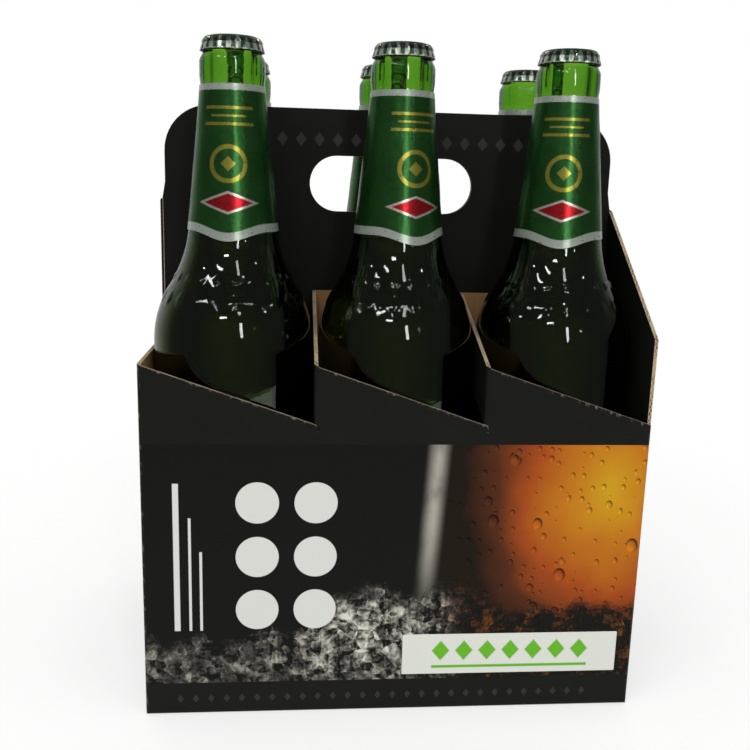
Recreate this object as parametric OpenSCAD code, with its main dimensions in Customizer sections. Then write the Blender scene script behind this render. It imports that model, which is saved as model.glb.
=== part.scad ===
// Six-pack carrier: one sheet of corrugated board, die-cut and folded into an open box with a
// centre handle, holding two rows of three crown-capped beer bottles.
// Millimetres. The origin is the middle of the underside, the front panel faces -Y and +Z is up.
// The back half of the board is the front half turned half a turn about Z.

/* [Board] */
// Thickness of one ply of the board
board_t = 1.6; // [1.2:0.1:2.2]
// Inside radius of every fold
fold_in_r = 0.4; // [0.2:0.1:1.2]
// Clearance round a bottle in its cell
cell_gap = 0.6; // [0.4:0.1:1.5]

/* [Front and back panels] */
// Height of the high end of each slope
slope_top_h = 165; // [150:1:175]
// Height of the low end of each slope
slope_low_h = 139; // [120:1:145]
// Radius of the hooked relief cut that ends each slope
relief_r = 2.2; // [1.4:0.1:3]
// Width of the relief cut
relief_w = 0.5; // [0.3:0.1:0.8]

/* [End panels] */
// Height of the tall half at the corner of the box
end_corner_h = 178; // [170:1:200]
// Width of the glue flap that closes the short half
glue_flap_w = 18; // [10:1:22]
// Slant of the glue flap's ends
glue_flap_slant = 6; // [2:1:10]

/* [Divider straps] */
// Rise of a strap on its way from the outer panel to the centre panel
strap_rise = 24; // [10:1:34]
// Length of the glue tab at the end of a strap
strap_tab_w = 16; // [8:1:20]
// Slant of the glue tab's end
strap_tab_slant = 4; // [1:1:8]

/* [Centre panel] */
// Height of the part that is as wide as the box
centre_h = 233; // [225:1:240]
// Inset of the handle from the side of the box
handle_inset = 3; // [2:0.5:12]
// Height of the slanted step up to the handle
handle_step_h = 8; // [4:1:14]
// Height of the handle above that part
handle_h = 44.5; // [35:0.5:55]
// Radius of the handle's upper corners
handle_corner_r = 22; // [8:1:26]
// Width of the hand hole
hand_hole_w = 81; // [70:1:120]
// Height of the hand hole
hand_hole_h = 27; // [22:1:32]
// Drop of the middle of the hand hole below the handle's top edge
hand_hole_drop = 35.5; // [28:0.5:40]

/* [Bottom] */
// Strip of the inner flap that the outer flap leaves bare
bottom_bare_w = 8; // [3:1:20]
// Clearance between the bottom flaps and the end panels
bottom_gap = 0.5; // [0.3:0.1:1.5]

/* [Bottle body] */
// Diameter of the body
bottle_d = 72.6; // [68:0.2:76]
// Height of the glass
bottle_h = 299; // [290:1:310]
// Thickness of the wall
wall_t = 3.4; // [2:0.1:4]
// Thickness of the base
base_t = 4.5; // [3:0.1:7]
// Height at which the side meets the shoulder's slope
shoulder_h = 179; // [165:1:185]
// Height of the shoulder's slope
shoulder_rise = 26; // [20:1:36]
// Radius of the turn from the side to the shoulder
shoulder_r = 47; // [20:1:60]
// Radius of the rounded heel
heel_r = 6; // [3:0.5:9]
// Diameter of the hollow under the base
punt_d = 54; // [44:1:58]
// Depth of the hollow under the base
punt_h = 5; // [2:0.5:10]

/* [Bottle neck] */
// Diameter of the neck at its foot
neck_foot_d = 42.8; // [38:0.2:50]
// Diameter of the neck under the collar
neck_top_d = 28; // [26:0.2:30]
// Radius of the turn from the shoulder to the neck
neck_r = 60; // [20:1:80]
// Diameter of the collar
collar_d = 28.8; // [28.4:0.2:32]
// Height of the collar
collar_h = 13.4; // [9:0.2:16]
// Diameter of the groove between the collar and the lip
groove_d = 25.2; // [24:0.1:25.8]
// Height of that groove
groove_h = 1.2; // [0.8:0.1:2]
// Diameter of the lip that the cap grips
lip_d = 26.6; // [26.2:0.1:27]
// Height of the lip
lip_h = 4.4; // [3.6:0.1:5]
// Diameter of the bore
bore_d = 17.6; // [15:0.1:19]

/* [Filling] */
// Drop of the beer's surface below the lip
fill_drop = 66; // [40:1:80]

/* [Crown cap] */
// Diameter over the flutes at the rim
cap_d = 28.6; // [28.4:0.1:30]
// Height of the cap
cap_h = 6; // [5.4:0.1:6.6]
// Thickness of the sheet metal
cap_t = 0.25; // [0.2:0.01:0.35]
// Number of flutes
flutes = 21; // [18:1:24]
// Radius of a flute's round crest
flute_r = 1.1; // [0.9:0.05:1.3]
// Clearance between the flutes and the lip
cap_gap = 0.1; // [0.05:0.01:0.2]
// Diameter of the flat top before its edge is rounded
crown_d = 25.4; // [24.6:0.1:26]
// Radius of the top edge
crown_r = 1.6; // [1:0.1:2]
// Thickness of the liner
liner_t = 0.6; // [0.4:0.1:1]

/* [Labels] */
// Thickness of the film of glue under a label
glue_t = 0.05; // [0.02:0.01:0.1]
// Thickness of the neck label
neck_label_t = 0.2; // [0.1:0.05:0.4]
// Height of the neck label at its sides
neck_label_h = 62.5; // [40:0.5:66]
// Drop of the neck label's front below its sides
neck_label_dip = 4; // [2:0.5:8]
// Width of that drop
neck_label_dip_w = 34; // [16:1:36]
// Thickness of the body label
body_label_t = 0.15; // [0.1:0.05:0.3]
// Width of the body label, straight across
body_label_w = 62; // [40:1:66]
// Height of the body label
body_label_h = 92; // [60:1:110]
// Height of the body label's lower edge above the foot
body_label_foot_h = 40; // [30:1:64]
// Radius of the body label's corners
body_label_r = 6; // [2:1:12]
// Turn of the labels on the left, middle and right bottles, in degrees
label_turns = [-3, 17, -13]; // [-45:1:45]

/* [Hidden] */
$fn = 96;
// Steps of a computed curve
arc_step_angle = 5;
dip_steps = 16;
// One overrun for every cut
over = 2;

places = ["front_left", "front_middle", "front_right", "back_left", "back_middle", "back_right"];
kinds = ["bottle", "beer", "cap", "cap_liner", "neck_label", "body_label"];

columns = 3;
rows = 2;
cell = bottle_d + 2 * cell_gap;
pitch = cell + board_t;
box_w = columns * cell + (columns + 1) * board_t;
box_d = rows * cell + 2 * rows * board_t;
row_y = board_t + cell / 2;
fold_r = board_t + fold_in_r;
floor_h = 2 * board_t;
handle_w = box_w - 2 * handle_inset;
handle_top_h = centre_h + handle_h;
hand_hole_mid_h = handle_top_h - hand_hole_drop;
strap_run = box_d / 2 - board_t;

body_r = bottle_d / 2;
neck_foot_h = shoulder_h + shoulder_rise;
neck_top_h = bottle_h - lip_h - groove_h - collar_h;
groove_foot_h = bottle_h - lip_h - groove_h;
// Shares of the collar's height that its lower flare and upper taper take
collar_flare_share = 0.26;
collar_taper_share = 0.24;
// Share of the lip's height that its underside slopes over
lip_slope_share = 0.15;
// Share of the hollow's radius that is flat at the top
punt_flat_share = 0.4;
// Small radii of the glass
punt_r = 3;
punt_turn_r = 20;
collar_r = 4.5;
collar_foot_r = 1.2;
lip_r = 1.5;
bore_edge_r = 1.2;
bore_turn_r = 30;
groove_r = 0.4;

rim_r = cap_d / 2;
flute_foot_r = lip_d / 2 + cap_gap + cap_t;
// Shares of the flare and of the height at which the cap's skirt bends
skirt_flare_share = 0.75;
skirt_height_share = 0.6;
// Share of the cap's height above which no flute shows
flute_top_share = 0.77;
flute_top_h = flute_top_share * cap_h;
cap_foot_h = bottle_h + liner_t + cap_t - cap_h;
// Distance from the top of the neck label to the collar
neck_label_gap = 0.5;

// Unit vector along v.
function unit(v) = v / norm(v);

// Normal on the left of the way from a to b.
function left_of(a, b) = let (d = unit(b - a)) [-d.y, d.x];

// Corner b of the path a, b, c, moved to the left by t.
function inset(a, b, c, t) =
    let (m = left_of(a, b), n = left_of(b, c))
    b + t * (m + n) / (1 + m * n);

// Angle from a to b by the shorter way.
function turn(a, b) =
    let (d = b - a)
    d > 180 ? d - 360 : d < -180 ? d + 360 : d;

// Arc of radius r that rounds corner b of the path a, b, c, limited by its two sides.
function arc(a, b, c, r) =
    let (
        u = unit(a - b),
        v = unit(c - b),
        half = acos(max(-1, min(1, u * v))) / 2,
        cut = min(r / tan(half), norm(a - b) / 2, norm(c - b) / 2),
        radius = cut * tan(half),
        centre = b + unit(u + v) * radius / sin(half),
        from = b + cut * u - centre,
        to = b + cut * v - centre,
        start = atan2(from.y, from.x),
        sweep = turn(start, atan2(to.y, to.x)),
        steps = max(2, ceil(abs(sweep) / arc_step_angle))
    )
    [for (i = [0 : steps]) let (q = start + sweep * i / steps) centre + radius * [cos(q), sin(q)]];

// Path of [x, y, radius] corners with each corner rounded, and its two ends left sharp.
function rounded(path) = [
    for (i = [0 : len(path) - 1])
        let (
            b = [path[i].x, path[i].y],
            r = path[i].z
        )
        each (i == 0 || i == len(path) - 1 || r == 0
            ? [b]
            : arc([path[i - 1].x, path[i - 1].y], b, [path[i + 1].x, path[i + 1].y], r))
];

// Rectangle centred on the origin, with round corners.
module round_rectangle(size, r) {
    square([size.x - 2 * r, size.y], center = true);
    square([size.x, size.y - 2 * r], center = true);
    for (x = [-1, 1], y = [-1, 1])
        translate([x * (size.x / 2 - r), y * (size.y / 2 - r)]) circle(r);
}

// Upright prism of an outline drawn in X and Z, from y = back towards -Y.
module facing_front(back, depth) {
    translate([0, back, 0]) rotate([90, 0, 0]) linear_extrude(depth) children();
}

// Upright prism of an outline drawn in Y and Z, from x = left towards +X.
module facing_side(left, depth) {
    translate([left, 0, 0]) rotate([90, 0, 90]) linear_extrude(depth) children();
}

// Opening with round ends, centred on the origin.
module slot(size) {
    square([size.x - size.y, size.y], center = true);
    for (x = [-1, 1]) translate([x * (size.x - size.y) / 2, 0]) circle(size.y / 2);
}

// What is cut off to round an outside corner that points to -X and -Y, on the right of x = 0.
module corner_waste(h) {
    linear_extrude(h) difference() {
        translate([0, -over]) square([fold_r, over + fold_r]);
        translate([fold_r, fold_r]) circle(fold_r);
    }
}

// Left side of the printed face of divider k, which is also the step of the saw-tooth edge.
function step_x(k) = k == 0 ? -box_w / 2 : k == columns ? box_w / 2 : (k - columns / 2) * pitch - board_t / 2;

// Four walls at full height, folded round at the corners.
module walls() {
    linear_extrude(centre_h) difference() {
        round_rectangle([box_w, box_d], fold_r);
        round_rectangle([box_w - 2 * board_t, box_d - 2 * board_t], fold_in_r);
    }
}

// All above the saw-tooth edge of the front panel.
module above_slopes() {
    top = centre_h + over;
    facing_front(-box_d / 2 + fold_r, fold_r + over) polygon(concat(
        [[-box_w / 2 - over, top], [-box_w / 2 - over, slope_top_h]],
        [for (k = [0 : columns - 1]) each [[step_x(k), slope_top_h], [step_x(k + 1), slope_low_h]]],
        [[box_w / 2 + over, slope_low_h], [box_w / 2 + over, top]]
    ));
}

// All above the right end panel: its front half climbs to the centre panel, its back half is short.
module above_end() {
    top = centre_h + over;
    facing_side(box_w / 2 - fold_r, fold_r + over) polygon([
        [-box_d / 2 - over, top],
        [-box_d / 2 - over, end_corner_h],
        [-box_d / 2 + fold_r, end_corner_h],
        [0, centre_h],
        [0, slope_top_h],
        [box_d / 2 + over, slope_top_h],
        [box_d / 2 + over, top]
    ]);
}

// Hooked cut at the low end of a slope, through the front panel.
module relief(k) {
    reach = relief_r + relief_w;
    facing_front(-box_d / 2 + board_t + over, board_t + 2 * over)
        translate([step_x(k), slope_low_h - relief_r]) intersection() {
            difference() {
                circle(relief_r + relief_w / 2);
                circle(relief_r - relief_w / 2);
            }
            translate([0, -relief_r / 2]) square([reach, relief_r / 2 + reach]);
        }
}

// Strap cut out of the front panel and folded back at a step, with its glue tab on the centre panel.
module strap(k) {
    facing_side(step_x(k), board_t) polygon([
        [-box_d / 2, slope_low_h],
        [-board_t, slope_low_h + strap_rise],
        [-board_t, slope_top_h + strap_rise],
        [-box_d / 2, slope_top_h]
    ]);
    tab_rise = strap_rise * strap_tab_w / strap_run;
    facing_front(-board_t, board_t) translate([step_x(k), strap_rise]) polygon([
        [0, slope_low_h],
        [0, slope_top_h],
        [strap_tab_w + board_t, slope_top_h],
        [strap_tab_w + board_t - strap_tab_slant, slope_low_h + tab_rise]
    ]);
}

// Flap of the short half of the left end panel, glued to the front of the centre panel.
module glue_flap() {
    foot = floor_h + board_t;
    facing_front(-board_t, board_t) translate([board_t - box_w / 2, 0]) polygon([
        [0, foot],
        [0, slope_top_h],
        [glue_flap_w, slope_top_h - glue_flap_slant],
        [glue_flap_w, foot + glue_flap_slant]
    ]);
}

// Outline of the centre panel and handle, in X and Z.
module centre_outline() {
    inner_w = box_w - 2 * board_t;
    step_top_h = centre_h + handle_step_h;
    difference() {
        polygon([
            [-inner_w / 2, floor_h],
            [-inner_w / 2, centre_h],
            [-handle_w / 2, step_top_h],
            [-handle_w / 2, handle_top_h],
            [handle_w / 2, handle_top_h],
            [handle_w / 2, step_top_h],
            [inner_w / 2, centre_h],
            [inner_w / 2, floor_h]
        ]);
        for (side = [0, 1]) mirror([side, 0])
            translate([handle_w / 2 - handle_corner_r, handle_top_h - handle_corner_r]) difference() {
                square(handle_corner_r + over);
                circle(handle_corner_r);
            }
        translate([0, hand_hole_mid_h]) slot([hand_hole_w, hand_hole_h]);
    }
}

// Bottom flaps glued one on the other: the outer from the front panel, the inner from the back.
module bottom() {
    flap_w = box_w - 2 * board_t - 2 * bottom_gap;
    outer_d = box_d - fold_r - bottom_bare_w;
    inner_d = box_d - 2 * board_t;
    translate([-flap_w / 2, -box_d / 2, 0]) cube([flap_w, outer_d, board_t]);
    translate([-flap_w / 2, -inner_d / 2, board_t]) cube([flap_w, inner_d, board_t]);
}

// Waste along the fold between an outer panel and its bottom flap, whose underside is at z = foot.
module bottom_fold_waste(foot) {
    translate([-box_w / 2 - over, -box_d / 2, foot]) rotate([90, 0, 90]) corner_waste(box_w + 2 * over);
}

// The folded and glued board.
module carrier() {
    color([0.1, 0.1, 0.09]) difference() {
        union() {
            difference() {
                walls();
                for (half = [0, 180]) rotate(half) {
                    above_slopes();
                    above_end();
                }
            }
            facing_front(board_t, 2 * board_t) centre_outline();
            for (half = [0, 180]) rotate(half) {
                for (k = [1 : columns - 1]) strap(k);
                glue_flap();
            }
            bottom();
        }
        for (half = [0, 180]) rotate(half) {
            for (k = [1 : columns - 1]) {
                relief(k);
                translate([step_x(k), -box_d / 2, slope_low_h]) corner_waste(slope_top_h);
            }
            translate([box_w / 2, 0, slope_top_h]) rotate(180) corner_waste(centre_h - slope_top_h);
        }
        bottom_fold_waste(0);
        rotate(180) bottom_fold_waste(board_t);
        translate([-box_w / 2 + board_t, box_d / 2 - fold_r - over, -over])
            cube([box_w - 2 * board_t, fold_r + 2 * over, board_t + over]);
    }
}

// Corners of the glass outside, from the middle of the base up to the lip, as [radius, height, rounding].
outside_path = [
    [0, punt_h, 0],
    [punt_flat_share * punt_d / 2, punt_h, punt_turn_r],
    [punt_d / 2, 0, punt_r],
    [body_r, 0, heel_r],
    [body_r, shoulder_h, shoulder_r],
    [neck_foot_d / 2, neck_foot_h, neck_r],
    [neck_top_d / 2, neck_top_h, collar_foot_r],
    [collar_d / 2, neck_top_h + collar_flare_share * collar_h, collar_r],
    [collar_d / 2, groove_foot_h - collar_taper_share * collar_h, collar_r],
    [groove_d / 2, groove_foot_h, groove_r],
    [groove_d / 2, bottle_h - lip_h, groove_r],
    [lip_d / 2, bottle_h - lip_h + lip_slope_share * lip_h, groove_r],
    [lip_d / 2, bottle_h, lip_r],
    [bore_d / 2, bottle_h, bore_edge_r]
];

// Two corners of the glass inside, a wall's thickness in from the shoulder's two corners outside.
shoulder_corner = [body_r, shoulder_h];
neck_corner = [neck_foot_d / 2, neck_foot_h];
shoulder_in = inset([body_r, 0], shoulder_corner, neck_corner, wall_t);
neck_in = inset(shoulder_corner, neck_corner, [neck_top_d / 2, neck_top_h], wall_t);

// Corners of the glass inside, from the bore down to the middle of the base.
inside_path = [
    [bore_d / 2, bottle_h, 0],
    [bore_d / 2, neck_top_h, bore_turn_r],
    [neck_in.x, neck_in.y, neck_r + wall_t],
    [shoulder_in.x, shoulder_in.y, shoulder_r - wall_t],
    [body_r - wall_t, base_t, heel_r],
    [punt_d / 2, base_t, punt_r],
    [punt_flat_share * punt_d / 2, punt_h + base_t, punt_turn_r],
    [0, punt_h + base_t, 0]
];

// Half section of the bottle, glass and hollow together.
module outside_section() {
    polygon(concat(rounded(outside_path), [[0, bottle_h]]));
}

// One bottle's glass, blown as one piece.
module bottle() {
    open_path = [for (i = [0 : len(outside_path) - 2]) outside_path[i]];
    bore_edge = outside_path[len(outside_path) - 1];
    inside = [for (i = [1 : len(inside_path) - 1]) inside_path[i]];
    color([0.06, 0.22, 0.07]) rotate_extrude() polygon(rounded(concat(open_path, [bore_edge], inside)));
}

// Beer, filling the glass up to the neck.
module beer() {
    color([0.72, 0.5, 0.12]) rotate_extrude() intersection() {
        polygon(concat([[0, bottle_h]], rounded(inside_path)));
        square([body_r, bottle_h - fill_drop]);
    }
}

// Half section of the cap's envelope, inset by t from its outside.
module cap_section(t) {
    polygon(rounded([
        [0, cap_h - t, 0],
        [crown_d / 2 - t, cap_h - t, crown_r - t],
        [
            crown_d / 2 + skirt_flare_share * (rim_r - crown_d / 2) - t,
            skirt_height_share * cap_h,
            0
        ],
        [rim_r - t, 0, 0],
        [0, 0, 0]
    ]));
}

// The cap's solid form inset by t: a plain crown on a skirt that is bounded by the flutes.
module cap_form(t) {
    rotate_extrude() intersection() {
        cap_section(t);
        translate([0, flute_top_h]) square([rim_r, cap_h]);
    }
    intersection() {
        rotate_extrude() intersection() {
            cap_section(t);
            square([rim_r, flute_top_h]);
        }
        linear_extrude(flute_top_h) {
            circle(flute_foot_r - t);
            for (i = [0 : flutes - 1])
                rotate(i * 360 / flutes) translate([rim_r - flute_r, 0]) circle(flute_r - t);
        }
    }
}

// Crown cap, pressed from sheet metal and crimped under the lip.
module cap() {
    color([0.08, 0.3, 0.16]) translate([0, 0, cap_foot_h]) difference() {
        cap_form(0);
        cap_form(cap_t);
    }
}

// Sealing liner between the cap and the lip.
module cap_liner() {
    color([0.8, 0.8, 0.78]) translate([0, 0, bottle_h])
        cylinder(h = liner_t, r = crown_d / 2 - crown_r - cap_gap);
}

// Lower edge of the neck label seen from the front, lower in the middle.
function dip_edge() = [
    for (i = [-dip_steps : dip_steps])
        let (share = i / dip_steps)
        [share * neck_label_dip_w / 2, -neck_label_dip * (1 + cos(180 * share)) / 2]
];

// Foil label round the neck.
module neck_label() {
    top = neck_top_h - neck_label_gap;
    foot = top - neck_label_h;
    reach = neck_foot_d;
    color([0.1, 0.42, 0.16]) difference() {
        rotate_extrude() intersection() {
            difference() {
                translate([glue_t + neck_label_t, 0]) outside_section();
                translate([glue_t, 0]) outside_section();
            }
            translate([0, foot - neck_label_dip])
                square([reach, neck_label_h + neck_label_dip]);
        }
        facing_front(reach, 2 * reach) translate([0, foot]) polygon(concat(
            [[-reach, -neck_label_dip - over], [-reach, 0]],
            dip_edge(),
            [[reach, 0], [reach, -neck_label_dip - over]]
        ));
    }
}

// Paper label on the front of the body.
module body_label() {
    color([0.45, 0.5, 0.44]) intersection() {
        translate([0, 0, body_label_foot_h]) difference() {
            cylinder(h = body_label_h, r = body_r + glue_t + body_label_t);
            translate([0, 0, -over]) cylinder(h = body_label_h + 2 * over, r = body_r + glue_t);
        }
        facing_front(0, bottle_d) translate([0, body_label_foot_h + body_label_h / 2])
            round_rectangle([body_label_w, body_label_h], body_label_r);
    }
}

// Stands a piece of bottle i in its cell, with its label outwards.
module in_cell(i) {
    column = i % columns;
    row = floor(i / columns);
    x = (column - (columns - 1) / 2) * pitch;
    y = (2 * row - 1) * row_y;
    translate([x, y, floor_h]) rotate(label_turns[column] + row * 180) children();
}

carrier();
for (i = [0 : len(places) - 1]) {
    in_cell(i) bottle();
    in_cell(i) beer();
    in_cell(i) cap();
    in_cell(i) cap_liner();
    in_cell(i) neck_label();
    in_cell(i) body_label();
}
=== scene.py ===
"""Looks of a six-pack: a printed board carrier, green beer bottles, crown caps and labels.

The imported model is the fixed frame. Every piece is in metres in that frame: the front panel faces
-Y, +X is to the right and +Z is up. Patterns that follow a surface are laid out in millimetres.
"""

import logging
import math
from collections.abc import Callable
from dataclasses import dataclass, field
from enum import Enum

import bmesh
import bpy
from mathutils import Matrix, Vector, noise


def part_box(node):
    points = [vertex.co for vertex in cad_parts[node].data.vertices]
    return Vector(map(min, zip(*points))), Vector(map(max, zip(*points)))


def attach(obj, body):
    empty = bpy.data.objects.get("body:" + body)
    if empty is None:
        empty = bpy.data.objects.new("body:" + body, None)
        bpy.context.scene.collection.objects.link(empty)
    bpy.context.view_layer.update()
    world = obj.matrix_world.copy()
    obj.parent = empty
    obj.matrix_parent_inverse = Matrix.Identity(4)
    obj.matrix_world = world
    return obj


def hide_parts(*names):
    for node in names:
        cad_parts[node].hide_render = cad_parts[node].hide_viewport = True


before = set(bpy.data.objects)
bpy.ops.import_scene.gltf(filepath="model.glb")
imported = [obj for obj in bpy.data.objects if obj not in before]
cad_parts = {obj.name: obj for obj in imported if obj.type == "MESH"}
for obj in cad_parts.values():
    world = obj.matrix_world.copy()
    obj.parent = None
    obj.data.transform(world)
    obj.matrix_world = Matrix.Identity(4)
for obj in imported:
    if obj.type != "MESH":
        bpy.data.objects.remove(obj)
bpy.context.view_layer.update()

LOG = logging.getLogger("six_pack")
MM = 0.001
TURN = 2 * math.pi
TINY = 1e-6
SHEET_MAP = "sheet"
ROWS = ("front", "back")
COLUMNS = ("left", "middle", "right")
# Softness of a printed edge, and pitch of the board's flutes, in millimetres
PRINT_BLUR = 0.15
FLUTE_PITCH = 3.2
# Angle in degrees past which an edge of a turned or bent form stays sharp
SHARP_ANGLE = 50.0

Colour = tuple[float, float, float, float]
Socket = bpy.types.NodeSocket
Number = Socket | float
Point = tuple[float, float]
Place = tuple[float, float, float]
Grid = list[list[Place]]
Stops = tuple[tuple[float, Colour], ...]


def srgb(red: int, green: int, blue: int) -> Colour:
    """Turns a screen colour into a linear one.

    Args:
        red: Red, from 0 to 255.
        green: Green, from 0 to 255.
        blue: Blue, from 0 to 255.

    Returns:
        The linear colour, with full cover.
    """
    def linear(level: int) -> float:
        """Linear value of one channel."""
        share = level / 255
        return share / 12.92 if share <= 0.04045 else ((share + 0.055) / 1.055) ** 2.4

    return (linear(red), linear(green), linear(blue), 1.0)


class Nodes:
    """A node tree with short calls for the sums that shapes and patterns need."""

    def __init__(self, tree: bpy.types.NodeTree) -> None:
        """Takes the tree to fill."""
        self.tree = tree

    def node(
        self,
        kind: str,
        inputs: dict[str | int, object] | None = None,
        **settings: object,
    ) -> bpy.types.Node:
        """Adds a node.

        Args:
            kind: The node's type name.
            inputs: Sockets and constants for its inputs, by name or number.
            **settings: Values for the node's own properties.

        Returns:
            The new node.
        """
        made = self.tree.nodes.new(kind)
        for name, value in settings.items():
            setattr(made, name, value)
        for name, value in (inputs or {}).items():
            self.put(made.inputs[name], value)
        return made

    def put(self, target: Socket, value: object) -> None:
        """Links a socket to the target, or sets the target to a constant.

        Args:
            target: Input socket to fill.
            value: Output socket to link, or a constant.
        """
        if isinstance(value, bpy.types.NodeSocket):
            self.tree.links.new(value, target)
        else:
            target.default_value = value

    def math(self, operation: str, *values: Number) -> Socket:
        """Result of one sum on one to three numbers, such as SINE or SMOOTH_MIN."""
        return self.node("ShaderNodeMath", dict(enumerate(values)), operation=operation).outputs[0]

    def add(self, a: Number, b: Number) -> Socket:
        """Sum of a and b."""
        return self.math("ADD", a, b)

    def subtract(self, a: Number, b: Number) -> Socket:
        """Difference of a and b."""
        return self.math("SUBTRACT", a, b)

    def times(self, a: Number, b: Number) -> Socket:
        """Product of a and b."""
        return self.math("MULTIPLY", a, b)

    def over(self, a: Number, b: Number) -> Socket:
        """Quotient of a and b."""
        return self.math("DIVIDE", a, b)

    def line(self, value: Number, slope: Number, start: Number) -> Socket:
        """Start plus slope times value."""
        return self.math("MULTIPLY_ADD", value, slope, start)

    def size(self, value: Number) -> Socket:
        """Value without its sign."""
        return self.math("ABSOLUTE", value)

    def most(self, a: Number, b: Number) -> Socket:
        """The larger of a and b."""
        return self.math("MAXIMUM", a, b)

    def vector(self, x: Number, y: Number, z: Number = 0.0) -> Socket:
        """Vector of three numbers."""
        return self.node("ShaderNodeCombineXYZ", {0: x, 1: y, 2: z}).outputs[0]

    def split(self, vector: Socket) -> tuple[Socket, Socket, Socket]:
        """The three numbers of a vector."""
        return tuple(self.node("ShaderNodeSeparateXYZ", {0: vector}).outputs)

    def ramp(
        self,
        value: Number,
        low: Number,
        high: Number,
        start: Number = 0.0,
        end: Number = 1.0,
    ) -> Socket:
        """Smooth step from start at low to end at high.

        Args:
            value: Number that runs along the step.
            low: Value where the step starts.
            high: Value where it ends.
            start: Result at low and before it.
            end: Result at high and past it.

        Returns:
            The number's socket.
        """
        inputs = dict(enumerate((value, low, high, start, end)))
        made = self.node("ShaderNodeMapRange", inputs, interpolation_type="SMOOTHSTEP")
        return made.outputs[0]


class Graph(Nodes):
    """Node tree of one material."""

    def __init__(self, name: str) -> None:
        """Makes an empty material of that name.

        Args:
            name: Name of the material.
        """
        self.material = bpy.data.materials.new(name)
        self.material.use_nodes = True
        super().__init__(self.material.node_tree)
        self.tree.nodes.clear()
        self.output = self.node("ShaderNodeOutputMaterial")

    def sheet(self) -> tuple[Socket, Socket]:
        """Place on the piece's own sheet map, across and up."""
        across, up, _ = self.split(self.node("ShaderNodeUVMap", uv_map=SHEET_MAP).outputs[0])
        return across, up

    def place(self) -> Socket:
        """Place in the frame, in millimetres."""
        return self.scaled(self.node("ShaderNodeTexCoord").outputs["Object"], 1 / MM)

    def attribute(self, name: str) -> Socket:
        """Value of one of the piece's own attributes."""
        return self.node("ShaderNodeAttribute", attribute_name=name).outputs["Fac"]

    def band(self, value: Number, low: float, high: float, soft: float) -> Socket:
        """1 between low and high, with soft edges.

        Args:
            value: Number to test.
            low: Lower end of the band.
            high: Upper end of the band.
            soft: Half the width of its soft edges.

        Returns:
            The number's socket.
        """
        return self.times(
            self.ramp(value, low - soft, low + soft),
            self.ramp(value, high + soft, high - soft),
        )

    def box(self, x: Number, y: Number, low: Point, high: Point) -> Socket:
        """1 inside a printed rectangle.

        Args:
            x: Place across.
            y: Place up.
            low: Lower left corner.
            high: Upper right corner.

        Returns:
            The number's socket.
        """
        return self.times(
            self.band(x, low[0], high[0], PRINT_BLUR),
            self.band(y, low[1], high[1], PRINT_BLUR),
        )

    def reach(self, x: Number, y: Number, centre: Point, stretch: Point = (1.0, 1.0)) -> Socket:
        """Distance from a centre, with each axis divided by its stretch.

        Args:
            x: Place across.
            y: Place up.
            centre: Point to measure from.
            stretch: Divisor of each axis.

        Returns:
            The number's socket.
        """
        across = self.over(self.subtract(x, centre[0]), stretch[0])
        up = self.over(self.subtract(y, centre[1]), stretch[1])
        return self.math("SQRT", self.add(self.times(across, across), self.times(up, up)))

    def within(self, distance: Socket, limit: float) -> Socket:
        """1 where a distance is under its limit, with the blur of a printed edge."""
        return self.ramp(distance, limit + PRINT_BLUR, limit - PRINT_BLUR)

    def noise(self, vector: Socket, size: float, detail: float = 2.0) -> Socket:
        """Soft noise with lumps of that size, from 0 to 1."""
        inputs = {"Vector": vector, "Scale": 1 / size, "Detail": detail}
        return self.node("ShaderNodeTexNoise", inputs).outputs["Fac"]

    def flutes(self, across: Socket) -> Socket:
        """Height of the flutes that show through a liner, from 0 to 1."""
        return self.line(self.math("SINE", self.times(across, TURN / FLUTE_PITCH)), 0.5, 0.5)

    def cells(self, vector: Socket, size: float) -> tuple[Socket, ...]:
        """Flat cells of that size.

        Args:
            vector: Place to look up.
            size: Width of a cell.

        Returns:
            Distance from the cell's centre, offset to the right and upwards from it, all as shares
            of the width, then two random numbers of the cell, and the centre's place.
        """
        inputs = {"Vector": vector, "Scale": 1 / size}
        made = self.node("ShaderNodeTexVoronoi", inputs, voronoi_dimensions="2D").outputs
        centre = made["Position"]
        offset = self.node("ShaderNodeVectorMath", {0: vector, 1: centre}, operation="SUBTRACT")
        right, rise, _ = self.split(self.scaled(offset.outputs[0], 1 / size))
        first, second, _ = self.split(made["Color"])
        return made["Distance"], right, rise, first, second, centre

    def slope(self, right: Socket, rise: Socket, turn: Socket) -> Socket:
        """Height on a tilted plane that faces the way of a random number.

        Args:
            right: Offset across.
            rise: Offset upwards.
            turn: Way that the plane faces, from 0 to 1 for a full turn.

        Returns:
            The number's socket.
        """
        angle = self.times(turn, TURN)
        across = self.times(right, self.math("COSINE", angle))
        return self.add(across, self.times(rise, self.math("SINE", angle)))

    def stir(self, vector: Socket, size: float, amount: float) -> Socket:
        """Place moved about by soft noise, so what is looked up there loses its straight edges.

        Args:
            vector: Place to move.
            size: Size of the noise's lumps.
            amount: Longest move.

        Returns:
            The moved place.
        """
        drift = self.node("ShaderNodeTexNoise", {"Vector": vector, "Scale": 1 / size})
        inputs = {0: drift.outputs["Color"], 1: (amount, amount, 0.0), 2: vector}
        return self.node("ShaderNodeVectorMath", inputs, operation="MULTIPLY_ADD").outputs[0]

    def scaled(self, vector: Socket, amount: Number) -> Socket:
        """Colour or place times an amount."""
        inputs = {0: vector, "Scale": amount}
        return self.node("ShaderNodeVectorMath", inputs, operation="SCALE").outputs[0]

    def mix(self, share: Number, a: Socket | Colour, b: Socket | Colour) -> Socket:
        """Colour a where share is 0 and b where it is 1."""
        inputs = {"Factor": share, 6: a, 7: b}
        return self.node("ShaderNodeMix", inputs, data_type="RGBA").outputs[2]

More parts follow.
